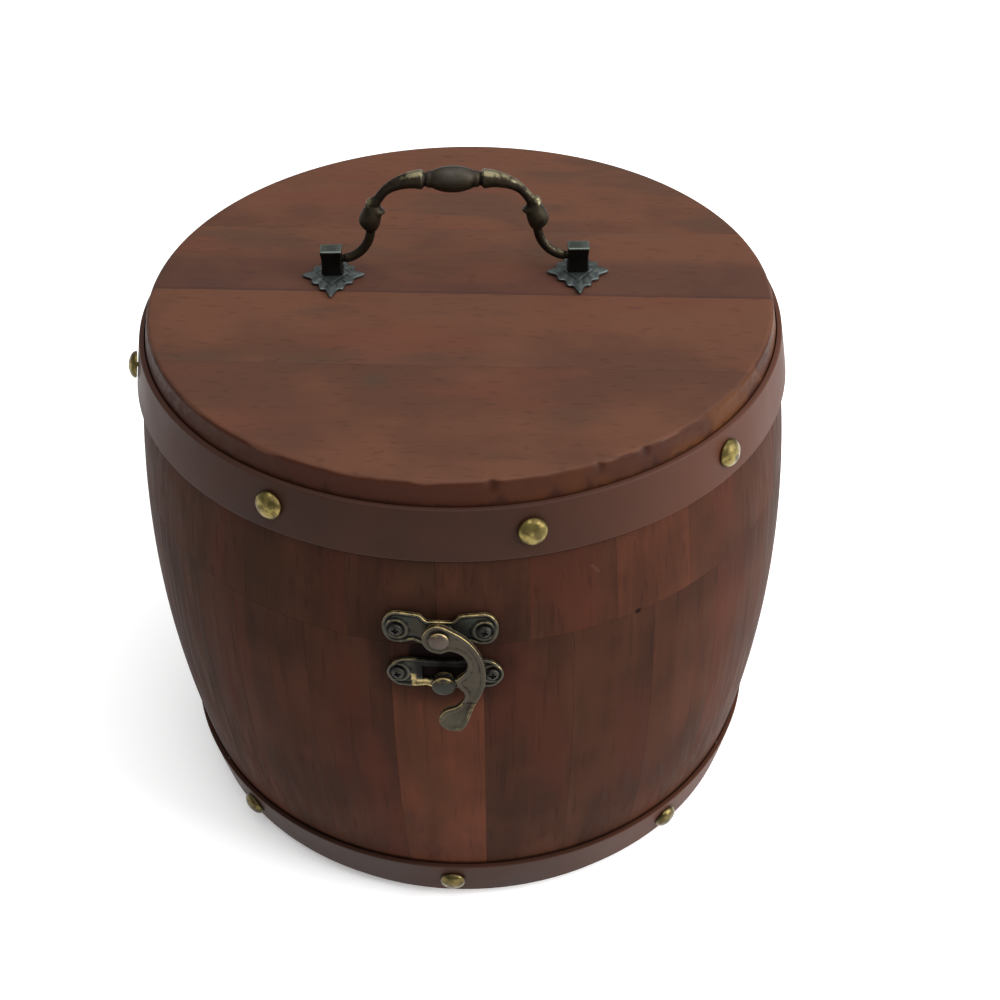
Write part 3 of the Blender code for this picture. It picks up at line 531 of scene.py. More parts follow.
def lidWoodMaterial(name, board, stripe, tones):
    material, shader, place = newMaterial(name)
    x, y, z = axes(place)
    shifted = calcVector("ADD", place, [shift * board for shift in lidWood["shift"]])
    grain = useGroup(grainGroup, {"Vector": shifted, "Tone": between(y, *tones), **lidWood["grain"]})
    colour = grain["Color"]
    if stripe:  # a dark band of the wood behind the joint, narrow in the middle
        start, narrow, wide = stripe
        side = between(calc("ABSOLUTE", x), *lidWood["stripeSides"])
        edge = plus(start + narrow, times(side, wide - narrow))
        edge = plus(edge, times(speckle(stretched(place, (0.2, 1, 1)), 190), 0.004))
        mask = between(minus(y, edge), -0.004, 0.003, 1.0, 0.0)
        line = between(y, *(start + reach for reach in lidWood["lineSpan"]), 1.0, 0.0)
        mask = plus(times(mask, lidWood["stripeShare"]), times(line, lidWood["lineShare"]))
        colour = mixColour(mask, colour, lidWood["stripe"])
    far = calcVector("DISTANCE", place, (*lidWood["patchPlace"], barrel["height"]), "Value")
    ragged = plus(far, times(speckle(place, 300, 3), 0.004))
    patch = between(ragged, 0.0, lidWood["patchReach"], lidWood["patchShare"], 0.0)
    colour = mixColour(patch, colour, lidWood["patch"])
    # painted light: the rim's right side is made lighter and warmer in patches, where light falls from the
    # right
    litWarm = times(between(x, *lidWood["litWarmSide"]), clouds(place, 70, 3, 0.35, 0.6))
    colour = mixColour(attribute(place, "rim"), colour, mixColour(litWarm, lidWood["edge"], lidWood["litWarmEdge"]))
    colour = mixColour(attribute(place, "chip"), colour, lidWood["chip"])
    under = calc("LESS_THAN", z, barrel["height"] - barrel["topThickness"] + 0.0002)  # plain wood inside
    plain = mixColour(grain["Roughness"], sideWood["insideDark"], sideWood["inside"])
    feed(shader, {"Base Color": mixColour(under, colour, plain), "Roughness": grain["Roughness"],
                  "Specular IOR Level": lidWood["shine"],
                  "Normal": bumpy(grain["Height"], lidWood["bump"])})
    return material


innerWood = {"Along": (0.06, 1, 1), "Pores along": (0.2, 1, 1), "Tone": 0.2, "Streaks": 0.7,
             "Pore amount": 0.3, "Light": sideWood["inside"], "Dark": sideWood["insideDark"],
             "Blush": (0.24, 0.115, 0.060, 1), "Shade": (0.150, 0.080, 0.045, 1)}


def innerBoardMaterial(name):
    material, shader, place = newMaterial(name)
    grain = useGroup(grainGroup, {"Vector": place, **innerWood})
    feed(shader, {"Base Color": grain["Color"], "Roughness": grain["Roughness"],
                  "Normal": bumpy(grain["Height"], 0.0001)})
    return material


leather = {
    "light": (0.034, 0.0122, 0.0066, 1), "dark": (0.024, 0.0090, 0.0050, 1), "worn": (0.08, 0.045, 0.038, 1),
    "paintedSheen": (0.056, 0.0185, 0.0094, 1), "shine": 0.10, "paintedSheenRight": (0.015, 0.070),
    "paintedSheenLeft": (-0.080, -0.045, 0.6, 0.0), "wornSpan": (0.3, 0.9), "wornShare": 0.1, "pebbles": 1500.0,
    "bump": 0.00004,
}


def leatherMaterial(name):
    material, shader, place = newMaterial(name)
    hide = speckle(place, 40, 3)
    pebble = node("ShaderNodeTexVoronoi", {"Vector": place, "Scale": leather["pebbles"]})["Distance"]
    colour = mixColour(between(hide, 0.3, 0.7), leather["dark"], leather["light"])
    across = axes(place)[0]  # painted sheen and light: paler at both sides, most of all on the right, where light falls
    paintedSheen = largest(between(across, *leather["paintedSheenRight"]), between(across, *leather["paintedSheenLeft"]))
    colour = mixColour(paintedSheen, colour, leather["paintedSheen"])
    worn = wearOn(place, attribute(place, "wear"), *leather["wornSpan"])
    colour = mixColour(times(worn["Worn"], leather["wornShare"]), colour, leather["worn"])
    feed(shader, {"Base Color": colour, "Roughness": between(hide, 0.3, 0.7, 0.44, 0.54),
                  "Specular IOR Level": leather["shine"], "Normal": bumpy(pebble, leather["bump"], 0.4)})
    return material


bronze = {"rim": (0.075, 0.066, 0.046, 1), "gold": (0.36, 0.27, 0.12, 1), "hollow": (0.004, 0.0035, 0.003, 1),
          "pale": None, "metallic": 0.85, "shine": 0.2, "bump": 0.00003, "wornSpan": (0.15, 0.8),
          "goldHighlightSpan": (0.10, 0.55)}
bronzes = {
    "latchBronze": {"body": (0.030, 0.026, 0.019, 1), "patina": (0.024, 0.029, 0.025, 1)},
    "hookBronze": {"body": (0.050, 0.041, 0.030, 1), "patina": (0.040, 0.035, 0.026, 1),
                   "pale": (0.067, 0.058, 0.040, 1), "hollow": (0.018, 0.015, 0.011, 1)},
    "rivetBronze": {"body": (0.075, 0.056, 0.045, 1), "patina": (0.050, 0.040, 0.034, 1)},
    "handleBronze": {"body": (0.014, 0.010, 0.007, 1), "patina": (0.028, 0.022, 0.013, 1),
                     "rim": (0.035, 0.028, 0.017, 1), "pale": (0.050, 0.044, 0.038, 1),
                     "gold": (0.15, 0.130, 0.076, 1)},
    "rosetteBronze": {"body": (0.066, 0.076, 0.077, 1), "patina": (0.048, 0.061, 0.054, 1),
                      "rim": (0.078, 0.090, 0.086, 1), "gold": (0.082, 0.096, 0.090, 1),
                      "hollow": (0.026, 0.031, 0.030, 1)},
    "postBronze": {"body": (0.006, 0.005, 0.004, 1), "patina": (0.009, 0.008, 0.006, 1),
                   "rim": (0.016, 0.016, 0.013, 1), "pale": (0.066, 0.077, 0.066, 1),
                   "gold": (0.100, 0.112, 0.098, 1)},
    "screwBronze": {"body": (0.030, 0.027, 0.022, 1), "patina": (0.036, 0.034, 0.028, 1),
                    "rim": (0.048, 0.045, 0.037, 1), "gold": (0.060, 0.057, 0.046, 1)},
}


def bronzeMaterial(name, own):
    material, shader, place = newMaterial(name)
    tones = {**bronze, **own}
    edge, upper, paintedShadow = (attribute(place, label) for label in ("wear", "goldHighlight", "paintedShadow"))
    edges = wearOn(place, edge, *bronze["wornSpan"])
    # painted highlight: gold on edges facing up, kept off the painted shadow
    goldHighlight = wearOn(place, upper, *bronze["goldHighlightSpan"])["Worn"]
    goldHighlight = times(times(goldHighlight, between(upper, 0.02, 0.15)), minus(1.0, paintedShadow))
    cloud = clouds(place, 260, 4, 0.40, 0.62)
    colour = mixColour(times(cloud, 0.7), tones["body"], tones["patina"])
    colour = mixColour(times(edges["Worn"], 0.7), colour, tones["rim"])
    colour = mixColour(edges["Hollow"], colour, tones["hollow"])
    if tones["pale"]:
        share = times(attribute(place, "pale"), between(cloud, 0.0, 1.0, 1.0, 0.55))
        colour = mixColour(share, colour, tones["pale"])
    # painted shadow, in the near-black hollow colour
    colour = mixColour(paintedShadow, colour, bronze["hollow"])
    feed(shader, {"Base Color": mixColour(goldHighlight, colour, tones["gold"]),
                  "Roughness": between(goldHighlight, 0, 1, 0.52, 0.36), "Metallic": bronze["metallic"],
                  "Specular IOR Level": bronze["shine"],
                  "Normal": bumpy(speckle(place, 1800, 3), bronze["bump"])})
    return material


brasses = {"lid": ("tackBrass", (0.21, 0.162, 0.052, 1), (0.055, 0.041, 0.015, 1)),
           "foot": ("dullBrass", (0.13, 0.100, 0.036, 1), (0.045, 0.034, 0.014, 1))}


def brassMaterial(name, bright, tarnished):
    material, shader, place = newMaterial(name)
    tarnish = clouds(place, 420, 4, 0.36, 0.62)
    feed(shader, {"Base Color": mixColour(times(tarnish, 0.85), bright, tarnished), "Metallic": 0.95,
                  "Roughness": between(tarnish, 0, 1, 0.26, 0.42),
                  "Normal": bumpy(speckle(place, 900, 2), 0.00006)})
    return material


def steelMaterial(name):
    material, shader, place = newMaterial(name)
    scratch = speckle(stretched(place, (1, 1, 0.1)), 1400, 3)
    feed(shader, {"Base Color": mixColour(scratch, (0.50, 0.49, 0.47, 1), (0.30, 0.29, 0.27, 1)),
                  "Roughness": between(scratch, 0.3, 0.7, 0.28, 0.44), "Metallic": 1.0})
    return material


metals = {name: bronzeMaterial(name, own) for name, own in bronzes.items()}
brass = {side: brassMaterial(*values) for side, values in brasses.items()}
steel = steelMaterial("plainSteel")
bandLeather = leatherMaterial("bandLeather")
staveWood = sideWoodMaterial("staveWood")
print("materials made")


# Geometry node trees

shape = {"Geometry": "Geometry"}


def closeShapeTree(instances, given, result):  # real geometry with its material
    real = node("GeometryNodeRealizeInstances", {"Geometry": instances})[0]
    made = node("GeometryNodeSetMaterial", {"Geometry": real, "Material": given["Material"]})
    feed(result, {"Geometry": made[0]})


def makeStaveTree():  # one stave turned to each place round the barrel
    tree, given, result = newTree("Geometry", "stavesRound", {
        **shape, "Stave": "Object", "Count": "Int", "First angle": "Float", "Material": "Material"}, shape)
    index = node("GeometryNodeInputIndex", {}, tree)[0]
    angle = plus(times(calc("DIVIDE", math.tau, given["Count"]), index), given["First angle"])
    stave = node("GeometryNodeObjectInfo", {"Object": given["Stave"]})["Geometry"]
    placed = node("GeometryNodeInstanceOnPoints", {
        "Points": given["Geometry"], "Instance": stave, "Rotation": upwards(angle)})
    closeShapeTree(placed[0], given, result)
    return tree


def makeFastenerTree():  # one head on each point, facing out, each spun differently
    tree, given, result = newTree("Geometry", "fastenersSet", {
        **shape, "Head": "Object", "Size": "Float", "Spin seed": "Int", "Material": "Material"}, shape)
    facing = node("GeometryNodeInputNamedAttribute", {"Name": "facing"}, tree, data_type="FLOAT_VECTOR")
    aim = node("FunctionNodeAlignRotationToVector", {"Vector": facing[0]}, axis="Z")
    spin = node("FunctionNodeRandomValue", {2: 0.0, 3: math.tau, "Seed": given["Spin seed"]},
                data_type="FLOAT")
    both = node("FunctionNodeRotateRotation", {"Rotation": aim[0], "Rotate By": upwards(spin[1])},
                rotation_space="LOCAL")
    head = node("GeometryNodeObjectInfo", {"Object": given["Head"]})["Geometry"]
    placed = node("GeometryNodeInstanceOnPoints", {
        "Points": given["Geometry"], "Instance": head, "Rotation": both[0], "Scale": given["Size"]})
    closeShapeTree(placed[0], given, result)
    return tree


def runTree(name, guide, tree, values):  # the tree's result as a plain mesh
    thing = show(name + "Guide", guide)
    step = thing.modifiers.new("make", "NODES")
    step.node_group = tree
    for item in tree.interface.items_tree:
        if item.item_type == "SOCKET" and item.in_out == "INPUT" and item.name in values:
            step[item.identifier] = values[item.name]
    mesh = evaluated(thing)
    mesh.name = name
    return mesh


staveTree = makeStaveTree()
fastenerTree = makeFastenerTree()


# Staves, numbered to the right from the latch, with 24 under it. The listed staves get set tones and
# lightening: stave 24's own paler wood, and painted light on the staves right of the latch, as if lit from
# the right. The rest get random tones and random lightening.

staves = {
    "count": 25, "bodyEdge": math.radians(6.45), "lidEdge": math.radians(13.95), "joint": 0.00001,
    "cornerRound": 0.00003, "endRound": 0.00003, "seamGap": 0.00003, "columns": 9, "toneSeed": 8,
    "bodyTones": {0: -0.15, 1: -0.08, 2: 0.05, 3: 0.1, 4: 0.0, 24: 0.2, 23: 0.06, 22: -0.02, 21: 0.1,
                  20: 0.0, 19: 0.1},
    "bodyGlows": {0: 0.04, 1: 0.04, 2: 0.18, 3: 0.18, 4: 0.14, 24: 0.84, 23: 0.16, 22: 0.12, 21: 0.05,
                  20: 0.10, 19: 0.15, 18: 0.10},
    "lidTones": {0: 0.0, 1: 0.0, 2: 0.0, 3: 0.0, 24: 0.1, 23: -0.2, 22: 0.0, 21: 0.0, 20: 0.0, 19: 0.1},
    "lidGlows": {0: 0.14, 1: 0.52, 2: 0.18, 3: 0.12, 4: 0.05, 24: 0.04, 23: 0.0, 22: 0.02, 21: 0.04,
                 20: 0.02, 19: 0.05, 18: 0.05},
}


def staveProfile(top, bottom, levels, footStep):  # (offset from the wall or own radius, height) loop
    corner = staves["endRound"]
    heights = [top] + spread(top - corner, bottom + corner, levels) + [bottom]
    outside = [(barrelRadius(z) - (corner if z in (top, bottom) else 0), z) for z in heights]
    ledge = barrel["baseThickness"] + gap
    inner = barrelRadius(ledge) - barrel["wall"] + barrel["rabbet"]
    step = [(inner, bottom), (inner, ledge)] if footStep else []
    low = ledge if footStep else bottom
    return outside + step + [(barrelRadius(z) - barrel["wall"], z) for z in spread(low, top, levels // 2)]


def staveMesh(name, profile):
    half = math.pi / staves["count"] - staves["joint"] / barrel["belly"]
    lip = staves["cornerRound"] / barrel["belly"]
    angles = [-half] + spread(-half + lip, half - lip, staves["columns"]) + [half]
    isOutside = [radius > barrelRadius(z) - 0.001 for radius, z in profile]

    def build(bm):
        rings = []
        for angle in angles:
            shy = staves["cornerRound"] if angle in (-half, half) else 0.0
            rings.append([polar(angle, radius - (shy if out else 0.0), z)
                          for (radius, z), out in zip(profile, isOutside)])
        loftRings(bm, rings)
    mesh = meshFrom(name, build, 40)
    setAttribute(mesh, "inside", [0.0 if out else 1.0 for out in isOutside] * len(angles))
    return mesh


def staveRing(name, profile, side):
    chance = random.Random(staves["toneSeed"])
    count = staves["count"]
    tones, toneAndPaintedLights = staves[side + "Tones"], staves[side + "Glows"]
    guide = bpy.data.meshes.new(name + "Places")
    guide.from_pydata([(0, 0, 0)] * count, [], [])
    setAttribute(guide, "staveTone", [tones.get(i, chance.uniform(-0.3, 0.3)) for i in range(count)])
    setAttribute(guide, "staveToneAndPaintedLight", [toneAndPaintedLights.get(i, chance.uniform(0.0, 0.4)) for i in range(count)])
    stave = show(name + "One", staveMesh(name + "One", profile))
    mesh = runTree(name, guide, staveTree, {
        "Stave": stave, "Count": count, "First angle": staves[side + "Edge"] + math.pi / count,
        "Material": staveWood})
    drop(stave)
    return show(name, mesh)


hinge = {"width": 0.026, "reach": 0.0105, "thickness": 0.0009, "knuckle": 0.0017, "knuckles": 5,
         "pin": 0.0007, "screwSide": 0.0085, "screwRise": 0.0063, "voxel": 0.00018, "cornerRound": 0.0016}


def hingeFrame():
    half = hinge["width"] / 2 + gap
    seat = half * half / (2 * barrelRadius(barrel["seam"])) + gap
    return wallFrame(math.pi, barrel["seam"]) @ moved(0, 0, gap + hinge["knuckle"] - seat)


def makeStaves():
    half, depth, reach = hinge["width"] / 2 + gap, hinge["knuckle"] + gap, hinge["reach"] + gap
    seamGap, wall = staves["seamGap"] / 2, barrel["wall"]
    top = barrel["height"] - barrel["topThickness"] - gap
    for side, body, profile, low, high in (
            ("body", "base", staveProfile(barrel["seam"] - seamGap, 0.0, 36, True), -reach, wall / 4),
            ("lid", "lid", staveProfile(top, barrel["seam"] + seamGap, 18, False), -wall / 4, reach)):
        ring = staveRing(side + "Staves", profile, side)
        mesh = carved(ring, lambda bm: addBox(bm, (-half, low, -depth), (half, high, wall), hingeFrame()))
        finish(side + "Staves", mesh, body, "side_wood", side + "_staves")


makeStaves()
print("staves made")


# Lid boards

bands = {"width": 0.013, "thickness": 0.0012, "topDrop": 0.0058, "footLift": 0.0035, "slit": 0.0006,
         "steps": 420, "wave": 0.00012, "dent": 0.00022, "dentRadius": 0.0052, "edgeRound": 0.00022}

boards = {"joints": (-0.0358, -0.0030, 0.0298), "steps": 640, "rimRound": 0.0014, "jointGap": 0.00004,
          "jointRound": 0.00006, "chipDepth": 0.0007, "stripe": (-0.0030, 0.0045, 0.0160), "ragged": 0.0024,
          "rimLevel": 0.08, "rimSway": 0.7, "chipShade": 0.55, "nickShade": 0.6,
          "chips": ((8.6, 0.8), (26.4, 0.6), (34.8, 0.7)),  # (degrees round, width) of nicks in the edge
          "splinters": ((-18.0, 0.6), (9.9, 0.9), (18.6, 0.7), (24.3, 0.6), (36.5, 0.7)),
          "tones": ((-0.08, -0.040, 0.05, -0.6), (-0.036, -0.006, -0.6, 0.9),  # (front, back, tone, tone)
                    (0.004, 0.024, 0.1, 0.5), (0.030, 0.050, -0.1, 0.8))}


def roughAt(angle, layer, scale):
    return noise.noise(Vector((math.sin(angle), math.cos(angle), layer)) * scale)


def markedAt(angle, marks):  # 1 in the middle of a mark, 0 away from all of them
    turn = math.degrees((angle + math.pi) % math.tau - math.pi)
    return max(math.exp(-((turn - at) / width) ** 2) for at, width in marks)


def chipAt(angle):  # 0 where the rim is whole, 1 in the deepest nick
    return float(np.clip(markedAt(angle, boards["chips"]) * (1 + 0.6 * roughAt(angle, 0.3, 47)), 0, 1))


def nickAt(angle):  # how far the painted shade of the ragged gap above the band climbs
    rough = 0.15 + 0.5 * roughAt(angle, 0.9, 22) + 0.5 * roughAt(angle, 0.9, 75)
    return max(0.0, rough, 1.1 * markedAt(angle, boards["splinters"]))


def discProfile():
    corner = boards["rimRound"]
    top, under = barrel["height"], barrel["height"] - barrel["topThickness"]
    flat = [(0, top)] + [(barrelRadius(top) * share, top) for share in (0.3, 0.6, 0.85, 0.95)]
    rounding = [(barrelRadius(top - corner) - corner + radius, z)
                for radius, z in dome(corner, top - corner, corner, 6)]
    side = [(barrelRadius(z), z) for z in spread(top - corner, under, 18)[1:]]
    return flat + rounding + side + [(0, under)]


def chippedDisc():
    def build(bm):
        angles = [math.tau * i / boards["steps"] for i in range(boards["steps"])]
        chips = [chipAt(angle) for angle in angles]
        corner = boards["rimRound"]
        rings = []
        for radius, z in discProfile():
            near = max(0.0, 1 - abs(z - (barrel["height"] - corner / 2)) / (1.6 * corner))
            near *= 1.0 if radius > barrelRadius(z) - 1.5 * corner else 0.0
            bites = [boards["chipDepth"] * chip * near for chip in chips]
            rings.append([polar(angle, max(radius - bite, 0), z - 0.35 * bite)
                          for angle, bite in zip(angles, bites)])
        loftRings(bm, rings, False)
        bmesh.ops.remove_doubles(bm, verts=bm.verts, dist=0.000002)
    return meshFrom("disc", build, 50)


def paintRim(mesh):
    places = points(mesh)
    corner = boards["rimRound"]
    drop = barrel["height"] - places[:, 2]
    angles = [math.atan2(x, -y) % math.tau for x, y, _ in places]
    sway = np.array([max(0.0, roughAt(angle, 0.6, 12)) for angle in angles])
    level = corner * (boards["rimLevel"] + boards["rimSway"] * sway)
    setAttribute(mesh, "rim", smoothStep(level, level + 0.25 * corner, drop))
    chips = np.array([chipAt(angle) for angle in angles])
    high = plateau(0.12 * corner, 0.5 * corner, 1.3 * corner, 2.4 * corner, drop)
    climb = boards["ragged"] * np.array([nickAt(angle) for angle in angles])
    nickGapShade = 1 - smoothStep(0.5, 1.5, (bands["topDrop"] - drop) / np.maximum(climb, 0.0001))
    # chip: dark colour in the rim's nicks, and painted shade in the ragged gap along the band's top edge
    setAttribute(mesh, "chip", np.maximum(boards["chipShade"] * chips * high, boards["nickShade"] * nickGapShade))


def softenJoint(mesh, front, back):  # breaks the long top edges beside the joints
    bm = bmesh.new()
    bm.from_mesh(mesh)
    long = [edge for edge in bm.edges
            if all(v.co.z > barrel["height"] - 0.00001 for v in edge.verts)
            and any(all(abs(v.co.y - y) < 0.00001 for v in edge.verts) for y in (front, back))]
    bmesh.ops.bevel(bm, geom=long, offset=boards["jointRound"], segments=2, affect="EDGES", profile=0.5)
    for face in bm.faces:
        face.smooth = abs(face.normal.z) < 0.999
    bm.to_mesh(mesh)
    bm.free()
    mesh.set_sharp_from_angle(angle=math.radians(50))


def setMaterial(mesh, material):
    mesh.materials.clear()
    mesh.materials.append(material)


def makeBoards():
    disc = chippedDisc()
    edges = [-0.1] + list(boards["joints"]) + [0.1]
    top, half = barrel["height"], boards["jointGap"] / 2
    for i, (front, back) in enumerate(zip(edges, edges[1:])):
        front, back = front + half, back - half
        mesh = carved(show("boardDisc", disc.copy()), lambda bm: addBox(
            bm, (-0.1, front, top - 0.02), (0.1, back, top + 0.02)), "INTERSECT")
        softenJoint(mesh, front, back)
        paintRim(mesh)
        stripe = boards["stripe"] if i == 2 else None
        setMaterial(mesh, lidWoodMaterial(f"lidWood{i + 1}", i, stripe, boards["tones"][i]))
        finish(f"lidBoard{i + 1}", mesh, "lid", "lid_wood", f"lid_board_{i + 1}")
    baseBoard = frame["nodes"]["base_board"]
    setMaterial(baseBoard.data, innerBoardMaterial("innerWood"))


makeBoards()
print("boards made")


# Leather bands and their tacks

tacks = {"radius": 0.0035, "dome": 0.0020, "hammer": 0.00010,
         "lid": (14.5, 52.1, 108.0, 146.8, 192.5, 238.3, 284.0, 332.5), "foot": tuple(range(0, 360, 45))}


def bandRing(bottom, angles, seed):
    thick, corner, top = bands["thickness"], bands["edgeRound"], bottom + bands["width"]
    heights = [bottom + corner] + spread(bottom + 2 * corner, top - 2 * corner, 14) + [top - corner]
    section = [(z, thick) for z in heights]
    section += [(top, thick - corner), (top, 0.0), (bottom, 0.0), (bottom, thick - corner)]
    middle = (bottom + top) / 2
    half = math.pi - bands["slit"] / 2 / barrelRadius(middle)

    def build(bm):
        rings = []
        for angle in spread(-half, half, bands["steps"]):
            sway = bands["wave"] * noise.noise(Vector((math.sin(angle) * 3, math.cos(angle) * 3, seed)))
            away = min(abs((angle - a + math.pi) % math.tau - math.pi) for a in angles)
            ring = []
            for z, out in section:
                far = math.hypot(away * barrelRadius(middle), z - middle)
                dent = bands["dent"] * max(0.0, 1 - far / bands["dentRadius"]) if out > thick / 2 else 0.0
                ring.append(polar(angle, barrelRadius(z) + gap + out - dent, z + sway))
            rings.append(ring)
        loftRings(bm, rings)
    return meshFrom("band", build, 50)


def tackHead():
    seat = bands["thickness"] + 2 * gap
    skirt = [(tacks["radius"] * 0.94, seat - 0.0001), (0.0006, seat), (0.0006, -0.002), (0, -0.002)]

    def build(bm):
        turned(bm, dome(tacks["radius"], seat, tacks["dome"], 12) + skirt, 28)
        for v in bm.verts:
            if v.co.z > seat + 0.0002:
                v.co += v.co.normalized() * tacks["hammer"] * noise.noise(v.co * 620)
    return show("tackOne", meshFrom("tackOne", build, 60))


def guideAt(name, places):  # points to set heads on, with the way each one faces
    mesh = bpy.data.meshes.new(name)
    mesh.from_pydata([place.translation for place in places], [], [])
    layer = mesh.attributes.new("facing", "FLOAT_VECTOR", "POINT")
    for item, place in zip(layer.data, places):
        item.vector = place.col[2][:3]
    return mesh


def setFasteners(name, body, slot, head, material, places, nodes, seed):
    mesh = runTree(name, guideAt(name, places), fastenerTree, {
        "Head": head, "Size": 1.0, "Spin seed": seed, "Material": material})
    mesh.shade_smooth()
    mesh.set_sharp_from_angle(angle=math.radians(45))
    finish(name, mesh, body, slot, *nodes)


def makeBands():
    head = tackHead()
    for side, body, bottom in (("lid", "lid", barrel["height"] - bands["topDrop"] - bands["width"]),
                               ("foot", "base", bands["footLift"])):
        angles = [math.radians(turn) for turn in tacks[side]]
        mesh = bandRing(bottom, angles, len(side))
        mesh.materials.append(bandLeather)
        paintWearAndHighlight(mesh, 0.00005, 1)
        finish(side + "Band", mesh, body, "leather", side + "_band")
        places = [wallFrame(angle, bottom + bands["width"] / 2) for angle in angles]
        cadNodes = [f"{side}_tack_{i + 1}" for i in range(len(angles))]
        setFasteners(side + "Tacks", body, "brass", head, brass[side], places, cadNodes, len(side))
    drop(head)


makeBands()
print("bands and tacks made")


# Latch

latch = {"thickness": 0.0009, "upperRise": 0.0050, "lowerDrop": 0.0081, "lowerShift": 0.0009,
         "upperEar": 0.0102, "lowerEar": 0.0111, "boss": 0.0026, "standoff": 0.0028, "hookThickness": 0.0014,
         "rivet": 0.0012, "rivetHead": 0.0024, "rivetHeight": 0.0010, "knob": 0.0027, "knobReach": 0.0040,
         "knobSide": -0.0003, "knobDrop": 0.0017, "tailLift": 0.0014, "tailStart": 0.0190,
         "tailLength": 0.004, "windowSides": (-0.0054, 0.0056), "windowSpan": (-0.0017, 0.0024),
         "voxel": 0.00015, "rim": 0.0006, "sunk": 0.00034, "armRim": 0.0008, "armSunk": 0.00018,
         "earRing": 0.0025, "ringWidth": 0.00045, "ringRise": 0.00030, "relief": (-0.0003, 0.0004),
         "paintedShadow": 0.95, "catchGoldHighlight": 0.4,
         "paintedGlint": (((-0.0081, -0.0067), (-0.0038, -0.0004)), ((-0.0070, -0.0032), (-0.0038, -0.0019))),
         "paintedGlintSoft": 0.00045, "paintedGlintShare": 0.45}


outlines = {  # in tenths of a millimetre; the ears from their screws, the plates as right halves
    "hookTop": ((0, 30), (26, 29), (35, 34), (48, 46)),
    "hookEar": ((-22, 49), (8, 48), (27, 31), (34, 6), (28, -20), (12, -35), (-12, -36)),
    "hookFoot": ((62, -28), (34, -40), (0, -46)),
    "catchTop": ((0, 43), (48, 46)),
    "catchEar": ((-12, 43), (18, 22), (27, -6), (8, -36), (-30, -40)),
    "catchFoot": ((46, -34), (26, -40), (0, -43)),
    "arm": ((40, 19), (65, -1), (86, -29), (100, -61), (106, -96), (106, -126), (101, -149), (90, -178),
            (77, -204), (64, -238)),
    "tab": ((48, -258), (18, -258), (-1, -244), (-3, -226), (11, -210), (36, -201)),
    "armInside": ((51, -188), (57, -172), (55, -157), (45, -145), (39, -132), (40, -118), (50, -109),
                  (62, -92), (65, -68), (52, -44), (26, -32)),
    "eye": ((0, -40), (-28, -28), (-40, 0), (-28, 28), (0, 40)),
}


def outlinePart(name, side=0.0):
    return [(side + x / 10000, y / 10000) for x, y in outlines[name]]


def plateOutline(name, ear):
    half = outlinePart(name + "Top") + outlinePart(name + "Ear", ear) + outlinePart(name + "Foot")
    return smoothLoop(half + [(-x, y) for x, y in reversed(half[1:-1])])


def frontShare(places, top):
    return smoothStep(top - 0.00055, top - 0.0002, places[:, 2])


def sunkenFace(places, outline, top, rim, depth):  # lowers the front face inside a raised edge
    return depth * smoothStep(rim * 0.6, rim * 1.7, edgeDistance(places, outline)) * frontShare(places, top)


def plateRelief(places, outline, top, ear):  # a sunken face with a fine raised ring round each screw
    sink = sunkenFace(places, outline, top, latch["rim"], latch["sunk"])
    for x in (-ear, ear):
        far = np.hypot(places[:, 0] - x, places[:, 1])
        ring = np.exp(-((far - latch["earRing"]) / latch["ringWidth"]) ** 2)
        sink = sink - latch["ringRise"] * ring * frontShare(places, top)
    return np.clip(sink, *latch["relief"])


def dressBronze(name, mesh, metal, body, *nodes, reach=0.000013):
    mesh.shade_smooth()
    paintWearAndHighlight(mesh, reach)
    setMaterial(mesh, metals[metal])
    finish(name, mesh, body, "bronze", *nodes)


def makeHookPlate(place):
    back, front = gap, gap + latch["thickness"]
    outline, top, boss = plateOutline("hook", latch["upperEar"]), latch["standoff"] - gap, latch["boss"]

    def build(bm):
        addSlab(bm, [outline], back, front)
        turned(bm, [(0, top), (boss - 0.0003, top), (boss, top - 0.0003), (boss + 0.0001, front),
                    (boss, back + 0.0002), (0, back + 0.0002)], 48)
    mesh = fused("hookPlate", build, latch["voxel"])
    places = points(mesh)
    onBoss = np.hypot(places[:, 0], places[:, 1]) < boss + 0.0005
    places[:, 2] -= np.where(onBoss, 0, plateRelief(places, outline, front, latch["upperEar"]))
    setPoints(mesh, ontoWall(places, place))
    dressBronze("hookPlate", mesh, "latchBronze", "lid", "hook_plate")


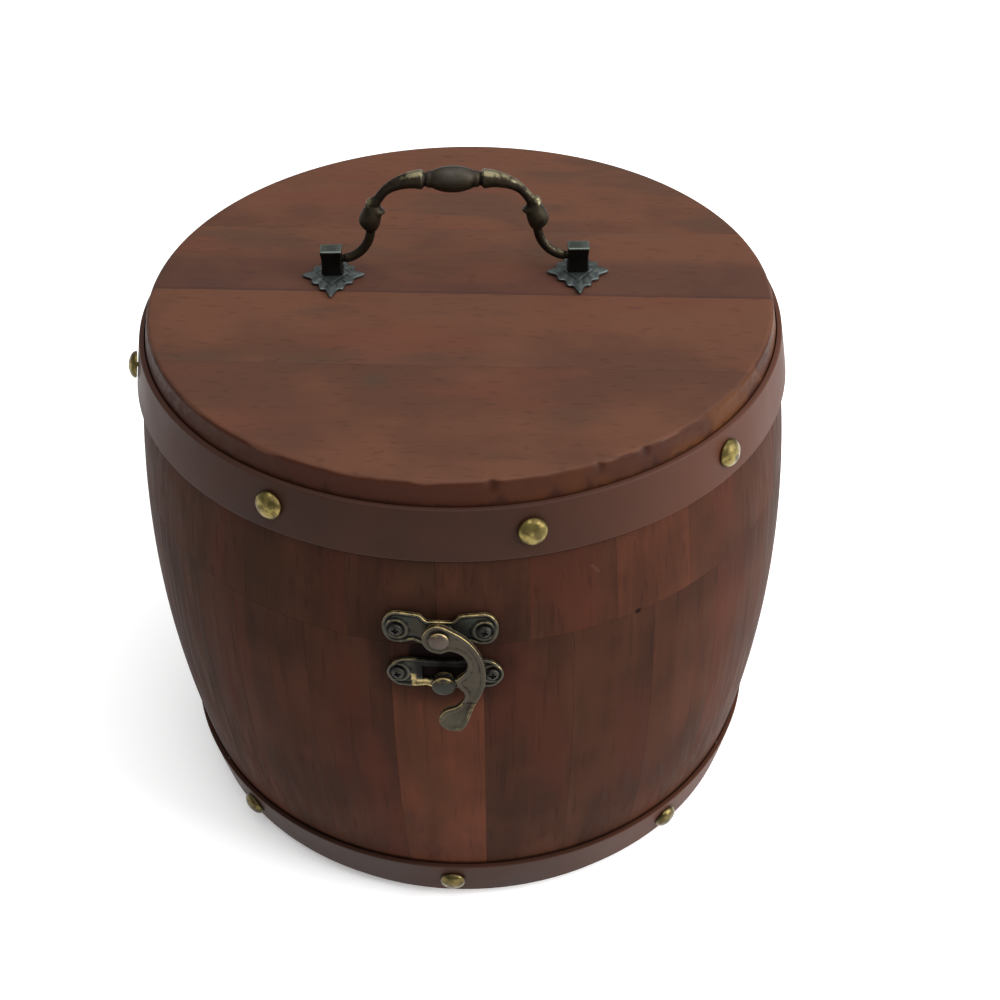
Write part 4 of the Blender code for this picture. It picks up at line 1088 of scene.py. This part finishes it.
def makeCatchPlate(place):
    back, front = gap, gap + latch["thickness"]
    outline, knob, reach = plateOutline("catch", latch["lowerEar"]), latch["knob"], latch["knobReach"]

    def build(bm):
        (left, right), (low, high) = latch["windowSides"], latch["windowSpan"]
        addSlab(bm, [outline, [(left, low), (right, low), (right, high), (left, high)]], back, front)
        profile = dome(knob, reach - 0.0010, 0.0010, 6)
        profile += [(0.85 * knob, reach - 0.0018), (0.85 * knob, back + 0.0002), (0, back + 0.0002)]
        turned(bm, profile, 48, moved(latch["knobSide"], -latch["knobDrop"], 0))
    mesh = fused("catchPlate", build, latch["voxel"], 2)
    places = points(mesh)
    x, y, z = places.T.copy()
    onPlate = np.hypot(x - latch["knobSide"], y + latch["knobDrop"]) > knob + 0.0004
    # painted shadow on the plate's upper bar, under the hook
    paintedShadow = plateau(-0.0085, -0.0060, 0.0065, 0.0085, x) * smoothStep(-0.0020, -0.0004, y) * onPlate
    # painted highlight: an L of lit edge on the window's lower-left bar
    paintedGlint = np.zeros(len(places))
    for (left, right), (low, high) in latch["paintedGlint"]:
        depth = np.minimum.reduce([x - left, right - x, y - low, high - y])
        inside = smoothStep(-latch["paintedGlintSoft"], latch["paintedGlintSoft"], depth) * onPlate
        paintedGlint = np.maximum(paintedGlint, inside * smoothStep(front - 0.0006, front - 0.0002, z))
    places[:, 2] -= np.where(onPlate, plateRelief(places, outline, front, latch["lowerEar"]), 0)
    setPoints(mesh, ontoWall(places, place))
    setAttribute(mesh, "paintedShadow", latch["paintedShadow"] * paintedShadow)
    dressBronze("catchPlate", mesh, "latchBronze", "base", "catch_plate")
    # painted highlight, weaker on the catch plate, plus the painted glint on its lower-left bar
    goldHighlight = rowsOf(mesh.attributes["goldHighlight"].data, "value", 1)[:, 0]
    worn = goldHighlight * np.where(onPlate, latch["catchGoldHighlight"], 1)
    setAttribute(mesh, "goldHighlight", np.maximum(worn, latch["paintedGlintShare"] * paintedGlint))


def makeHook(place):
    low, high = latch["standoff"], latch["standoff"] + latch["hookThickness"]
    outline = smoothLoop(sum((outlinePart(name) for name in ("arm", "tab", "armInside", "eye")), []))
    radius, turns = latch["rivet"] + gap, [math.tau * i / 24 for i in range(24)]
    hole = [(radius * math.cos(turn), radius * math.sin(turn)) for turn in turns]
    mesh = fused("latchHook", lambda bm: addSlab(bm, [outline, hole], low, high), latch["voxel"])
    places = points(mesh)
    places[:, 2] -= sunkenFace(places, outline, high, latch["armRim"], latch["armSunk"])
    share = np.clip((-latch["tailStart"] - places[:, 1]) / latch["tailLength"], 0, 2)
    places[:, 2] += latch["tailLift"] * share ** 0.8
    ones = np.column_stack((places, np.ones(len(places))))
    setPoints(mesh, (ones @ np.array(place).T)[:, :3])
    setAttribute(mesh, "pale", smoothStep(0.2, 0.9, share))
    dressBronze("latchHook", mesh, "hookBronze", "swing_hook", "latch_hook")


def makeRivet(place):
    base = latch["standoff"] + latch["hookThickness"] + gap
    profile = dome(latch["rivetHead"], base, latch["rivetHeight"], 10)
    profile += [(latch["rivet"], base), (latch["rivet"], 0), (0, 0)]
    mesh = meshFrom("hookRivet", lambda bm: turned(bm, profile, 40, place), 40)
    dressBronze("hookRivet", mesh, "rivetBronze", "lid", "hook_rivet", reach=0.00008)


screws = {"head": 0.0016, "height": 0.0007, "slotWidth": 0.0006, "slotDepth": 0.00045}


def screwHead(radius, height, seat):  # pan head with a cross cut in it
    profile = dome(radius, seat, height, 6)
    profile += [(radius * 0.45, seat), (radius * 0.45, seat - 0.003), (0, seat - 0.003)]
    head = show("screwOne", meshFrom("screwOne", lambda bm: turned(bm, profile, 24), 40))
    corner = Vector((radius * 1.05 / 2, screws["slotWidth"] / 2, screws["slotDepth"]))

    def build(bm):
        for angle in (0.0, math.pi / 2):
            addBox(bm, -corner, corner, moved(0, 0, seat + height) @ turnedBy(angle, "Z"))
    mesh = carved(head, build, selfCrossing=True)
    places = points(mesh)
    far = np.hypot(places[:, 0], places[:, 1])
    skin = seat + height * np.sqrt(1 - (far / radius).clip(0, 1) ** 2)
    sunk = (far < 0.75 * radius) & (places[:, 2] < skin - 0.0001)
    # painted shade in the cross cut
    setAttribute(mesh, "paintedShadow", sunk * (places[:, 2] > seat + 0.0001))
    return show("screwOne", mesh)


def wallSpot(place, side):
    spot = place @ Vector((side, 0, 0))
    return wallFrame(math.atan2(spot.x, -spot.y), spot.z)


def bothSides(prefix):
    return [prefix + "left", prefix + "right"]


def makeLatchScrews(upper, lower):
    head = screwHead(screws["head"], screws["height"], 2 * gap + latch["thickness"])
    for name, body, place, ear, seed in (("hook", "lid", upper, latch["upperEar"], 2),
                                         ("catch", "base", lower, latch["lowerEar"], 5)):
        spots = [wallSpot(place, side * ear) for side in (-1, 1)]
        setFasteners(name + "Screws", body, "bronze", head, metals["screwBronze"], spots,
                     bothSides(name + "_screw_"), seed)
    drop(head)


def makeLatch():
    seam = wallFrame(0, barrel["seam"])
    upper = seam @ moved(0, latch["upperRise"], 0)
    lower = seam @ moved(latch["lowerShift"], -latch["lowerDrop"], 0)
    makeHookPlate(upper)
    makeCatchPlate(lower)
    makeHook(upper)
    makeRivet(upper)
    makeLatchScrews(upper, lower)


makeLatch()
print("latch made")


# Hinge

def leafMesh(name, spans, sign, place):
    back = -hinge["knuckle"]
    front = back + hinge["thickness"]
    half = hinge["width"] / 2 - gap
    near, far = sign * (hinge["knuckle"] + 2 * gap), sign * hinge["reach"]
    corner = hinge["cornerRound"]
    outline = [(-half, near), (half, near), (half, far - sign * corner), (half - corner, far),
               (-half + corner, far), (-half, far - sign * corner)]

    def build(bm):
        addSlab(bm, [outline], back, front)
        along = turnedBy(math.pi / 2, "Y")
        for start, end in spans:
            radius = hinge["knuckle"]
            turned(bm, [(0, end), (radius, end), (radius, start), (0, start)], 40, along)
            addBox(bm, (start, near / 2 - 0.7 * abs(near), back), (end, near / 2 + 0.7 * abs(near), front))
    mesh = fused(name, build, hinge["voxel"], 1)
    mesh.transform(place)
    return mesh


def makeHinge():
    place = hingeFrame()
    length, pin = hinge["width"] / 2, hinge["pin"]
    pitch = hinge["width"] / hinge["knuckles"]
    starts = [-length + pitch * i for i in range(hinge["knuckles"])]
    spans = [(start + gap / 2, start + pitch - gap / 2) for start in starts]
    leaves = (("body", "base", spans[0::2], -1), ("lid", "lid", spans[1::2], 1))
    for side, body, own, sign in leaves:
        dressBronze(side + "HingeLeaf", leafMesh(side + "HingeLeaf", own, sign, place), "latchBronze",
                    body, side + "_hinge_leaf")
    head = screwHead(screws["head"], screws["height"], 2 * gap + hinge["thickness"])
    seat = place @ moved(0, 0, -hinge["knuckle"] - gap)
    for side, body, _, sign in leaves:
        spots = [seat @ moved(across * hinge["screwSide"], sign * hinge["screwRise"], 0)
                 for across in (-1, 1)]
        setFasteners(side + "HingeScrews", body, "bronze", head, metals["latchBronze"], spots,
                     bothSides(side + "_hinge_leaf_screw_"), 3)
    drop(head)
    end = length + gap
    profile = [(0, end + 1.7 * pin), (1.1 * pin, end + 1.4 * pin), (1.7 * pin, end + 0.7 * pin),
               (1.7 * pin, end), (pin, end), (pin, -length), (0, -length)]
    turnedPin = place @ turnedBy(math.pi / 2, "Y")
    mesh = meshFrom("hingePin", lambda bm: turned(bm, profile, 24, turnedPin), 40)
    mesh.materials.append(steel)
    finish("hingePin", mesh, "base", "steel", "hinge_pin")


makeHinge()
print("hinge made")


# Drop handle. Distances along the bail run from its middle.

handle = {"spacing": 0.064, "side": -0.0017, "back": 0.006, "yaw": math.radians(3.5), "pivotRise": 0.0056,
          "rise": 0.0222, "rod": 0.0012, "pin": 0.0010, "pinDepth": 0.0030, "postWidth": 0.0058,
          "postDepth": 0.0044, "postHeight": 0.0086, "waist": 0.10, "halfWidth": 0.0082,
          "halfLength": 0.0110, "thickness": 0.0011, "boltHead": 0.0030, "boltHeadHeight": 0.0016,
          "grip": (0.0, 0.0067, 0.0034), "ribs": (10, 0.03, 0.0045), "neck": 0.0021, "paleGrip": 0.0055,
          "kneeLength": 0.0042, "kneeRadius": 0.0026, "kneePoint": 6, "steps": 14, "sides": 28,
          "voxel": 0.00018, "scallop": 0.07, "rimDrop": 0.00045, "veinDepth": 0.00010, "ringDrop": 0.00012,
          "shape": ((0.0, 1.0), (0.22, 1.0), (0.36, 0.995), (0.50, 0.94), (0.60, 0.85), (0.68, 0.70),
                    (0.725, 0.53), (0.735, 0.36), (0.765, 0.22), (0.83, 0.10), (0.92, 0.02)),
          "leaves": ((-0.0040, 0.0010, 0.0012, 1), (-0.0028, 0.0009, 0.0012, -1),
                     (0.0012, 0.0016, 0.0005, 1)),
          "groove": (0.0069, 0.00035, 0.0005), "sleeve": (0.0072, 0.0112, 0.0026)}


def handleFrame():
    return moved(handle["side"], handle["back"], barrel["height"]) @ turnedBy(handle["yaw"], "Z")


def bailRoute():
    reach = (handle["spacing"] - handle["postWidth"]) / 2
    half = [(reach * across, handle["rise"] * up) for across, up in handle["shape"]]
    half += [(reach, 0.0), (reach + handle["pinDepth"], 0.0)]
    padded = [(-half[1][0], half[1][1])] + half + [half[-1]]
    line = []
    for i in range(len(half) - 1):
        line += [smoothBetween(*padded[i:i + 4], step / handle["steps"]) for step in range(handle["steps"])]
    line.append(half[-1])
    distances = [0.0]
    for first, second in zip(line, line[1:]):
        distances.append(distances[-1] + math.dist(first, second))
    return line, distances


def swelling(distance, middle, halfLength, radius):
    share = (distance - middle) / halfLength
    return radius * math.sqrt(1 - share * share) if abs(share) < 1 else 0.0


def bump(distance, middle, width):
    return math.exp(-((distance - middle) / width) ** 2)


def bailRadius(distance, side, knee, total):  # side is the angle round the rod, 0 outwards from the loop
    widths = [swelling(distance, *handle["grip"])]
    start, length, wide = handle["sleeve"]
    share = (distance - start) / length
    if share < 0:
        widths.append(handle["neck"])
    elif share < 1:  # a cone, widest beside the grip
        cone = handle["rod"] + (wide - handle["rod"]) * (1 - share) ** 1.2
        widths.append(cone * min(1, 0.72 + 5 * share))
    widths.append(swelling(distance, knee, handle["kneeLength"], handle["kneeRadius"]))
    rod = handle["pin"] if distance > total - handle["pinDepth"] - 2 * gap else handle["rod"]
    radius = max(rod, *widths)
    if widths[0] == radius:
        ribs, depth, reach = handle["ribs"]
        radius *= 1 - depth * (1 - math.cos(ribs * side)) * bump(distance, 0, reach)
    middle, width, depth = handle["groove"]
    radius -= depth * bump(distance, middle, width)
    for along, length, height, way in handle["leaves"]:
        radius += height * bump(distance, knee + along, length) * max(0, way * math.cos(side)) ** 3
    return radius


def bailGoldHighlight(distance, knee, isRight):  # painted highlight where light catches: on the sleeves, the knees' tips and the right arm
    start = handle["sleeve"][0]
    sleeve = plateau(start, start + 0.0006, start + 0.001, start + 0.007, distance)
    tip = 0.8 * bump(distance, knee + handle["leaves"][0][0], 0.0009)
    arm = 0.5 if start < distance < knee - 0.003 else 0.3 if distance > knee + 0.0045 else 0.0
    return max(sleeve, tip, arm * isRight)


def makeBail():
    line, distances = bailRoute()
    knee, total = distances[handle["kneePoint"] * handle["steps"]], distances[-1]
    place = handleFrame() @ moved(0, 0, handle["pivotRise"])
    half = list(zip(line, distances))
    full = [((-x, z), d) for (x, z), d in reversed(half[1:])] + half
    sides = [math.tau * k / handle["sides"] for k in range(handle["sides"])]
    goldHighlight, pale = [], []

    def build(bm):
        rings = []
        for i, ((x, z), distance) in enumerate(full):
            before, after = full[max(i - 1, 0)][0], full[min(i + 1, len(full) - 1)][0]
            along = Vector((after[0] - before[0], 0, after[1] - before[1])).normalized()
            outward = Vector((-along.z, 0, along.x))
            ring = []
            for side in sides:
                reach = bailRadius(distance, side, knee, total)
                ring.append(place @ (Vector((x, 0, z)) + outward * math.cos(side) * reach
                                     + Vector((0, 1, 0)) * math.sin(side) * reach))
                goldHighlight.append(bailGoldHighlight(distance, knee, x > 0) * smoothStep(0.45, 0.95, math.cos(side)))
                pale.append(bump(distance, 0, handle["paleGrip"]) * smoothStep(-0.2, 0.8, math.cos(side)))
            rings.append(ring)
        loftRings(bm, rings)
    mesh = meshFrom("handleBail", build, 60)
    dressBronze("handleBail", mesh, "handleBronze", "handle", "handle_bail", reach=0.00006)
    setAttribute(mesh, "goldHighlight", 0.8 * np.array(goldHighlight))
    setAttribute(mesh, "pale", pale)


def rosetteOutline():
    outline = []
    for i in range(144):
        angle = math.tau * i / 144
        across, along = math.cos(angle), math.sin(angle)
        diamond = (1 + handle["scallop"] * math.cos(12 * angle)) / (1 + handle["scallop"])
        diamond /= abs(across) + abs(along)
        outline.append((handle["halfWidth"] * across * diamond, handle["halfLength"] * along * diamond))
    return outline


def makeRosette(side, spot):
    thick = handle["thickness"]
    mesh = fused("rosette", lambda bm: addSlab(bm, [rosetteOutline()], gap, gap + thick), handle["voxel"], 2)
    places = points(mesh)
    across, along = places[:, 0] / handle["halfWidth"], places[:, 1] / handle["halfLength"]
    far = np.abs(across) + np.abs(along)
    veins = np.cos(12 * np.arctan2(along, across)) * smoothStep(0.35, 0.7, far)
    sink = handle["rimDrop"] * smoothStep(0.45, 1.0, far)
    sink += handle["veinDepth"] * (1 - veins) * smoothStep(0.4, 0.6, far)
    sink += handle["ringDrop"] * np.exp(-((far - 0.52) / 0.06) ** 2)
    facing = smoothStep(gap + 0.4 * thick, gap + 0.85 * thick, places[:, 2])
    places[:, 2] -= np.clip(sink, 0, 0.00085) * facing
    setPoints(mesh, places)
    mesh.transform(spot)
    dressBronze(f"rosette{side.capitalize()}", mesh, "rosetteBronze", "lid", f"handle_rosette_{side}")


def makePost(side, spot):
    foot, top = 2 * gap + handle["thickness"], handle["postHeight"]
    width, depth = handle["postWidth"] / 2, handle["postDepth"] / 2

    def build(bm):
        addBox(bm, (-width, -depth, foot), (width, depth, top))
        bmesh.ops.bevel(bm, geom=list(bm.edges), offset=0.0005, segments=4, affect="EDGES", profile=0.6)
    mesh = fused("post", build, 0.0002, 1)
    places = points(mesh)
    share = (places[:, 2] - foot) / (top - foot)
    waist = 1 - handle["waist"] * np.sin(np.pi * np.clip(share, 0, 1))
    places[:, :2] *= waist[:, None]
    setPoints(mesh, places)
    # painted light: the post's top is made pale where light falls on it
    setAttribute(mesh, "pale", smoothStep(top - 0.0004, top - 0.0001, places[:, 2]))
    mesh.transform(spot)
    dressBronze(f"post{side.capitalize()}", mesh, "postBronze", "lid", f"handle_post_{side}")


def makeHandle():
    spots = [handleFrame() @ moved(sign * handle["spacing"] / 2, 0, 0) for sign in (-1, 1)]
    for side, spot in zip(("left", "right"), spots):
        makeRosette(side, spot)
        makePost(side, spot)
    makeBail()
    head = screwHead(handle["boltHead"], handle["boltHeadHeight"], 0.0)
    down = moved(0, 0, -barrel["topThickness"] - gap) @ turnedBy(math.pi, "X")
    setFasteners("handleBolts", "lid", "steel", head, steel, [spot @ down for spot in spots],
                 bothSides("handle_bolt_"), 7)
    drop(head)


makeHandle()
print("handle made")


# Floor, light and camera

studio = {"floorColour": (0.90, 0.90, 0.90, 1), "floorGlow": 0.25, "floorSize": 6.0, "floorDrop": 0.0002,
          "worldStrength": 0.45, "aim": (0, 0, 0.08),
          "lights": {"overhead": {"place": (0.35, 0.0, 1.50), "size": 2.2, "power": 33.0},
                     "right": {"place": (1.35, -0.35, 0.75), "size": 0.9, "power": 27.0}}}
view = {"eye": (0.0268, -0.3330, 0.3542), "azimuth": math.radians(2.94), "down": math.radians(39.78),
        "roll": math.radians(-0.556), "lens": 54.0, "sensor": 36.0, "nearest": 0.01}


def makeFloor():
    floor = show("floor", meshFrom("floor", lambda bm: bmesh.ops.create_grid(
        bm, x_segments=1, y_segments=1, size=studio["floorSize"])))
    floor.location.z = -studio["floorDrop"]
    material, shader, _ = newMaterial("paleFloor")
    feed(shader, {"Base Color": studio["floorColour"], "Roughness": 0.9, "Emission Color": (1, 1, 1, 1),
                  "Emission Strength": studio["floorGlow"]})
    floor.data.materials.append(material)


def makeLights():
    world = bpy.data.worlds.new("softWhite")
    world.use_nodes = True
    background = world.node_tree.nodes["Background"].inputs
    feed(background, {"Strength": studio["worldStrength"], "Color": (1, 1, 1, 1)})
    bpy.context.scene.world = world
    for name, values in studio["lights"].items():
        light = bpy.data.lights.new(name, "AREA")
        light.size = values["size"]
        light.energy = values["power"]
        lamp = show(name, light)
        lamp.location = values["place"]
        aim = Vector(studio["aim"]) - lamp.location
        lamp.rotation_euler = aim.to_track_quat("-Z", "Y").to_euler()


def makeCamera():
    azimuth, down, roll = view["azimuth"], view["down"], view["roll"]
    level = Vector((math.cos(azimuth), math.sin(azimuth), 0))
    across, ahead = -math.sin(azimuth) * math.cos(down), math.cos(azimuth) * math.cos(down)
    forward = Vector((across, ahead, -math.sin(down)))
    upright = level.cross(forward)
    right = level * math.cos(roll) + upright * math.sin(roll)
    up = upright * math.cos(roll) - level * math.sin(roll)
    camera = bpy.data.cameras.new("camera")
    camera.lens = view["lens"]
    camera.sensor_width = view["sensor"]
    camera.clip_start = view["nearest"]
    holder = show("camera", camera)
    turn = Matrix((right, up, -forward)).transposed().to_4x4()
    holder.matrix_world = Matrix.Translation(view["eye"]) @ turn
    bpy.context.scene.camera = holder


makeFloor()
makeLights()
makeCamera()
bpy.context.scene.view_settings.view_transform = "Standard"
print("studio made")
